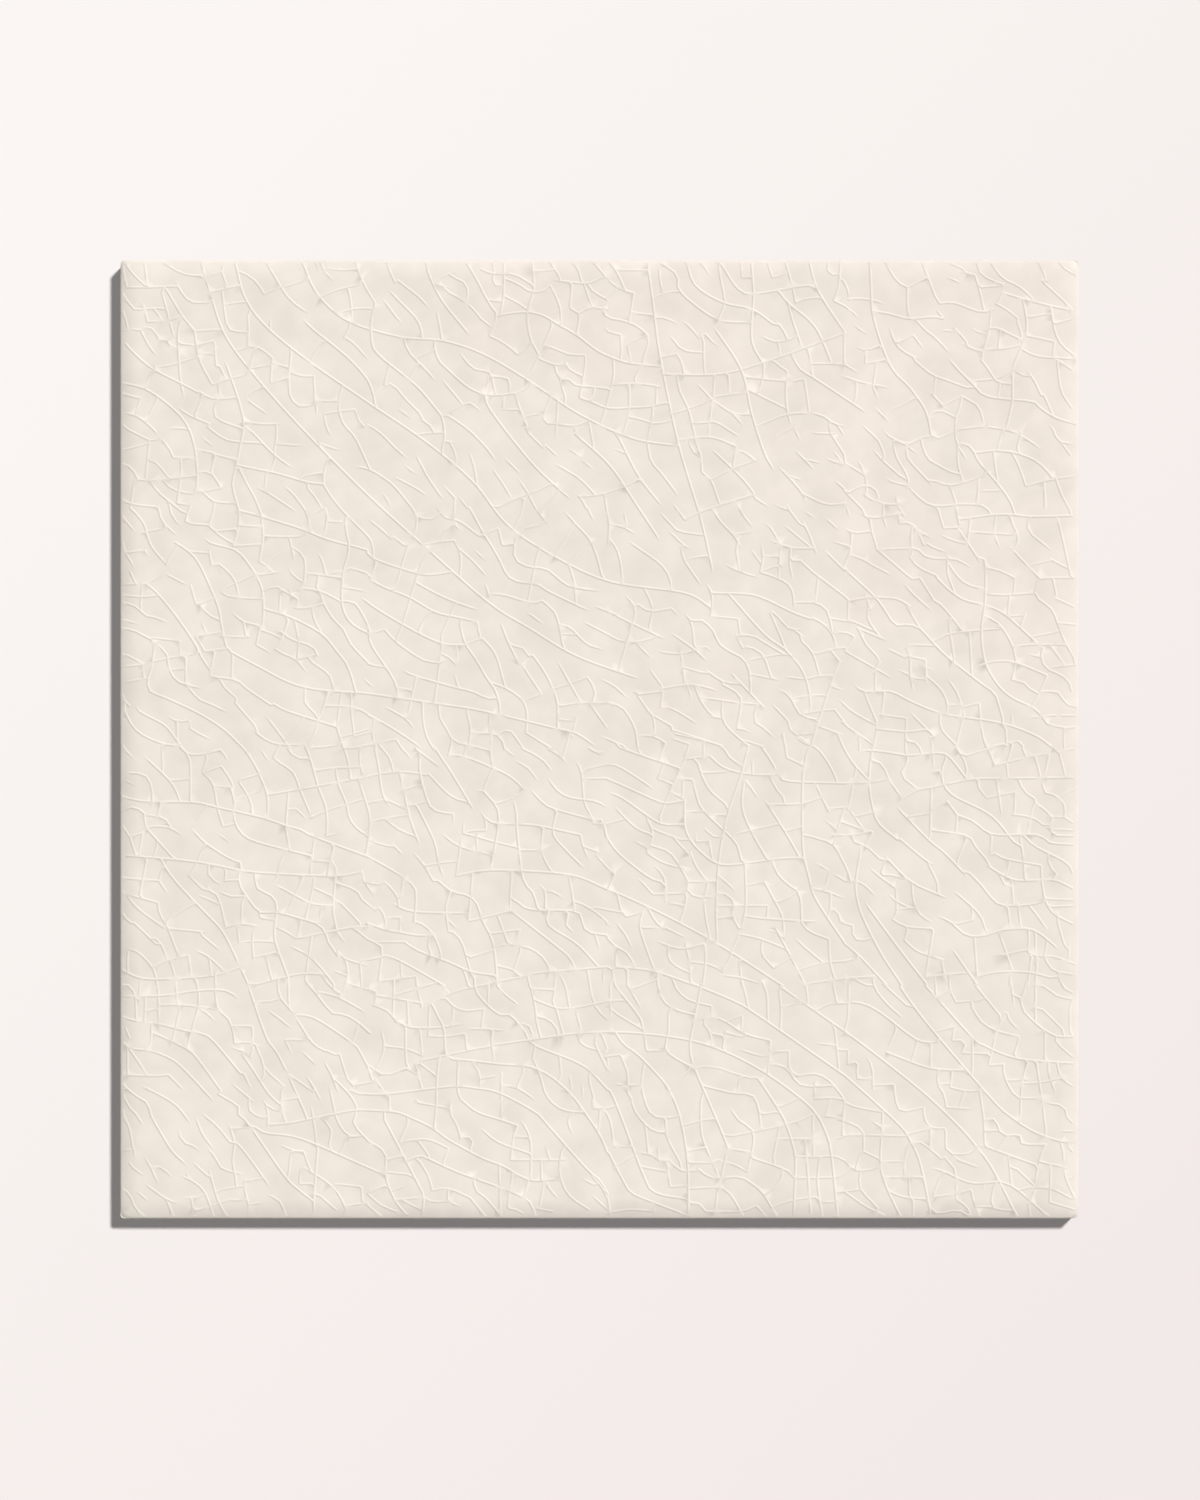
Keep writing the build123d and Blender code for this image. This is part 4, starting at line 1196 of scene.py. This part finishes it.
def ivory_crackle_glaze(colours):
    """Satin ivory glaze: pale, faintly mottled, with a little painted shade along the rim."""
    material, tree, output = new_material("ivory_crackle_glaze")
    place = node(tree, "ShaderNodeTexCoord").outputs["Object"]
    # Patches where the glaze lies thicker or thinner, about 30 mm across
    patches = node(tree, "ShaderNodeTexNoise", Vector=place, Scale=1 / (30 * MM), Detail=2.0, Roughness=0.5)
    split = node(tree, "ShaderNodeSeparateXYZ", Vector=place)
    # Across the tile the tint drifts from rosy at the upper right to greenish at the lower left
    slant = node(tree, "ShaderNodeMath", {"operation": "ADD"}, _0=split.outputs["X"], _1=split.outputs["Y"])
    drift = node(tree, "ShaderNodeMapRange", Value=slant.outputs[0], From_Min=SIDE, From_Max=-SIDE,
                 To_Min=-0.35, To_Max=0.35)
    mottle = node(tree, "ShaderNodeMapRange", Value=patches.outputs["Fac"], From_Min=0.3, From_Max=0.7,
                  To_Min=0.3, To_Max=0.7)
    share = node(tree, "ShaderNodeMath", {"operation": "ADD", "use_clamp": True},
                 _0=drift.outputs["Result"], _1=mottle.outputs["Result"])
    ivory = node(tree, "ShaderNodeMix", {"data_type": "RGBA"}, Factor=share.outputs[0],
                 _6=colours.glaze_warm, _7=colours.glaze_cool)
    # Painted shade: the glaze colour darkens towards the rim
    shade_band = 3.2 * MM
    off_x = node(tree, "ShaderNodeMath", {"operation": "ABSOLUTE"}, _0=split.outputs["X"])
    off_y = node(tree, "ShaderNodeMath", {"operation": "ABSOLUTE"}, _0=split.outputs["Y"])
    off = node(tree, "ShaderNodeMath", {"operation": "MAXIMUM"}, _0=off_x.outputs[0], _1=off_y.outputs[0])
    kept = node(tree, "ShaderNodeMapRange", Value=off.outputs[0], From_Min=HALF - shade_band, From_Max=HALF,
                To_Min=1.0, To_Max=1.0 - colours.rim_shade)
    # Faint clouds in the glaze, about 5 mm across
    cloud_depth = 0.045
    clouds = node(tree, "ShaderNodeTexNoise", Vector=place, Scale=1 / (5 * MM), Detail=2.0)
    cloud = node(tree, "ShaderNodeMapRange", Value=clouds.outputs["Fac"], From_Min=0.3, From_Max=0.7,
                 To_Min=1 - cloud_depth, To_Max=1 + cloud_depth)
    level = node(tree, "ShaderNodeMath", {"operation": "MULTIPLY"}, _0=kept.outputs["Result"],
                 _1=cloud.outputs["Result"])
    tint = node(tree, "ShaderNodeMix", {"data_type": "RGBA", "blend_type": "MULTIPLY"}, Factor=1.0,
                _6=ivory.outputs[2], _7=level.outputs[0])
    # Fine waviness of a fired glaze, about 1.5 mm from crest to crest
    waves = node(tree, "ShaderNodeTexNoise", Vector=place, Scale=1 / (1.5 * MM), Detail=1.0)
    bump = node(tree, "ShaderNodeBump", Strength=0.06, Distance=0.05 * MM, Height=waves.outputs["Fac"])
    shader = node(tree, "ShaderNodeBsdfPrincipled", Base_Color=tint.outputs[2], Roughness=0.32, IOR=1.5,
                  Normal=bump.outputs["Normal"])
    tree.links.new(shader.outputs["BSDF"], output.inputs["Surface"])
    return material


def fired_clay(colours):
    """Bare pressed clay: matt, buff, with fine grit and small pits."""
    material, tree, output = new_material("fired_clay")
    place = node(tree, "ShaderNodeTexCoord").outputs["Object"]
    grit = node(tree, "ShaderNodeTexNoise", Vector=place, Scale=1 / (0.5 * MM), Detail=3.0, Roughness=0.6)
    ramp = node(tree, "ShaderNodeMapRange", Value=grit.outputs["Fac"], From_Min=0.52, From_Max=0.75)
    tint = node(tree, "ShaderNodeMix", {"data_type": "RGBA"}, Factor=ramp.outputs["Result"],
                _6=colours.clay, _7=colours.clay_grit)
    bump = node(tree, "ShaderNodeBump", Strength=0.4, Distance=0.08 * MM, Height=grit.outputs["Fac"])
    shader = node(tree, "ShaderNodeBsdfPrincipled", Base_Color=tint.outputs[2], Roughness=0.85, IOR=1.5,
                  Normal=bump.outputs["Normal"])
    tree.links.new(shader.outputs["BSDF"], output.inputs["Surface"])
    return material


class TILE_OT_glazed_tile(bpy.types.Operator):
    """Makes the tile with its raised crackle, glaze and clay"""

    bl_idname = "tile.glazed_tile"
    bl_label = "Glazed tile"

    def execute(self, context):
        scene = context.scene
        mesh = tile_mesh(scene.tile_sizes, scene.tile_crackle)
        mesh.materials.append(ivory_crackle_glaze(scene.tile_colours))
        mesh.materials.append(fired_clay(scene.tile_colours))
        piece = bpy.data.objects.new("glazed_tile", mesh)
        scene.collection.objects.link(piece)
        # The floor's own light is kept even right up to the sides
        piece.visible_diffuse = False
        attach(piece, "root")
        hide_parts("tile")
        return {"FINISHED"}


# Stage

# Where the tile's middle lies in the 1200 by 1500 picture, and how many pixels its side spans
PICTURE_WIDTH_PX, PICTURE_HEIGHT_PX = 1200, 1500
TILE_MIDDLE_PX = (599.4, 739.4)
TILE_SIDE_PX = 958.4


def add_sun(scene, name, strength, zenith, spread):
    """Distant lamp from the upper right of the picture, kept out of the glaze's mirror image."""
    lamp = bpy.data.lights.new(name, "SUN")
    lamp.energy = strength
    lamp.angle = spread
    holder = bpy.data.objects.new(name, lamp)
    azimuth = math.radians(45.5)
    towards = Vector((math.sin(zenith) * math.cos(azimuth), math.sin(zenith) * math.sin(azimuth),
                      math.cos(zenith)))
    holder.rotation_mode = "QUATERNION"
    holder.rotation_quaternion = towards.to_track_quat("Z", "Y")
    holder.visible_glossy = False
    scene.collection.objects.link(holder)
    return lamp


def add_floor(scene, stage):
    """Wide pale floor whose colour deepens a little from the upper left to the lower right."""
    extent = 6.0
    fade = 1.1 * SIDE
    bm = bmesh.new()
    bmesh.ops.create_grid(bm, x_segments=1, y_segments=1, size=extent / 2)
    mesh = bpy.data.meshes.new("floor")
    bm.to_mesh(mesh)
    bm.free()
    material, tree, output = new_material("matt_paper_floor")
    place = node(tree, "ShaderNodeTexCoord").outputs["Object"]
    split = node(tree, "ShaderNodeSeparateXYZ", Vector=place)
    slant = node(tree, "ShaderNodeMath", {"operation": "SUBTRACT"},
                 _0=split.outputs["X"], _1=split.outputs["Y"])
    share = node(tree, "ShaderNodeMapRange", Value=slant.outputs[0], From_Min=-fade, From_Max=fade)
    tint = node(tree, "ShaderNodeMix", {"data_type": "RGBA"}, Factor=share.outputs["Result"],
                _6=stage.floor_light, _7=stage.floor_dark)
    shader = node(tree, "ShaderNodeBsdfDiffuse", Color=tint.outputs[2])
    tree.links.new(shader.outputs["BSDF"], output.inputs["Surface"])
    mesh.materials.append(material)
    floor = bpy.data.objects.new("floor", mesh)
    scene.collection.objects.link(floor)


def add_sky(scene, stage):
    """Even light from all round; the eye and the glaze see the floor's own pale colour there."""
    world = bpy.data.worlds.new("pale_sky")
    world.use_nodes = True
    tree = world.node_tree
    tree.nodes.clear()
    path = node(tree, "ShaderNodeLightPath")
    seen = node(tree, "ShaderNodeMath", {"operation": "MAXIMUM"},
                _0=path.outputs["Is Camera Ray"], _1=path.outputs["Is Glossy Ray"])
    light = node(tree, "ShaderNodeBackground", Color=(1, 1, 1, 1), Strength=stage.sky_share)
    backdrop = node(tree, "ShaderNodeBackground", Color=stage.floor_light, Strength=1.0)
    mix = node(tree, "ShaderNodeMixShader", _0=seen.outputs[0], _1=light.outputs[0], _2=backdrop.outputs[0])
    output = node(tree, "ShaderNodeOutputWorld")
    tree.links.new(mix.outputs[0], output.inputs["Surface"])
    scene.world = world


def add_camera(scene):
    """Camera straight above the tile, framed as the picture is."""
    distance = 1.3
    pixel = SIDE / TILE_SIDE_PX
    lens = bpy.data.cameras.new("camera")
    lens.sensor_width = 36.0
    lens.lens = lens.sensor_width * distance / (PICTURE_HEIGHT_PX * pixel)
    lens.clip_end = 20.0
    camera = bpy.data.objects.new("camera", lens)
    across = (PICTURE_WIDTH_PX / 2 - TILE_MIDDLE_PX[0]) * pixel
    down = (PICTURE_HEIGHT_PX / 2 - TILE_MIDDLE_PX[1]) * pixel
    camera.location = (across, -down, TOP + distance)
    scene.collection.objects.link(camera)
    scene.camera = camera


class TILE_OT_stage(bpy.types.Operator):
    """Lays the floor, hangs the lamps and sets the camera above the tile"""

    bl_idname = "tile.stage"
    bl_label = "Floor, lamps and camera"

    def execute(self, context):
        scene = context.scene
        stage = scene.tile_stage
        scene.view_settings.view_transform = "Standard"
        add_floor(scene, stage)
        key_zenith, key_spread = math.radians(21.4), math.radians(4.5)
        relief_zenith, relief_spread = math.radians(74), math.radians(8)
        # A lamp's strength follows from the share of light that it gives to the level floor
        add_sun(scene, "key_lamp", math.pi * stage.key_share / math.cos(key_zenith),
                key_zenith, key_spread)
        relief = add_sun(scene, "relief_lamp", math.pi * stage.relief_share / math.cos(relief_zenith),
                         relief_zenith, relief_spread)
        # This lamp only models the relief: it throws no shadow and no light back onto the floor
        relief.use_shadow = False
        relief.cycles.max_bounces = 0
        add_sky(scene, stage)
        add_camera(scene)
        return {"FINISHED"}


class VIEW3D_PT_crackle_tile(bpy.types.Panel):
    """Sidebar panel with the tile's settings and operators"""

    bl_label = "Crackle glaze tile"
    bl_space_type = "VIEW_3D"
    bl_region_type = "UI"
    bl_category = "Tile"

    def draw(self, context):
        layout = self.layout
        for group in (context.scene.tile_sizes, context.scene.tile_crackle,
                      context.scene.tile_colours, context.scene.tile_stage):
            box = layout.box()
            for name in group.__annotations__:
                box.prop(group, name)
        layout.operator(TILE_OT_glazed_tile.bl_idname)
        layout.operator(TILE_OT_stage.bl_idname)


CLASSES = (TileSizes, CrackleSizes, TileColours, StageSettings,
           TILE_OT_glazed_tile, TILE_OT_stage, VIEW3D_PT_crackle_tile)


def register():
    """Registers the classes and hangs the settings on the scene."""
    for cls in CLASSES:
        bpy.utils.register_class(cls)
    bpy.types.Scene.tile_sizes = PointerProperty(type=TileSizes)
    bpy.types.Scene.tile_crackle = PointerProperty(type=CrackleSizes)
    bpy.types.Scene.tile_colours = PointerProperty(type=TileColours)
    bpy.types.Scene.tile_stage = PointerProperty(type=StageSettings)


def unregister():
    """Takes the settings off the scene and the classes out again."""
    del bpy.types.Scene.tile_stage
    del bpy.types.Scene.tile_colours
    del bpy.types.Scene.tile_crackle
    del bpy.types.Scene.tile_sizes
    for cls in reversed(CLASSES):
        bpy.utils.unregister_class(cls)


def main():
    """Makes the tile and its stage."""
    register()
    bpy.ops.tile.glazed_tile()
    bpy.ops.tile.stage()


if __name__ == "__main__":
    main()
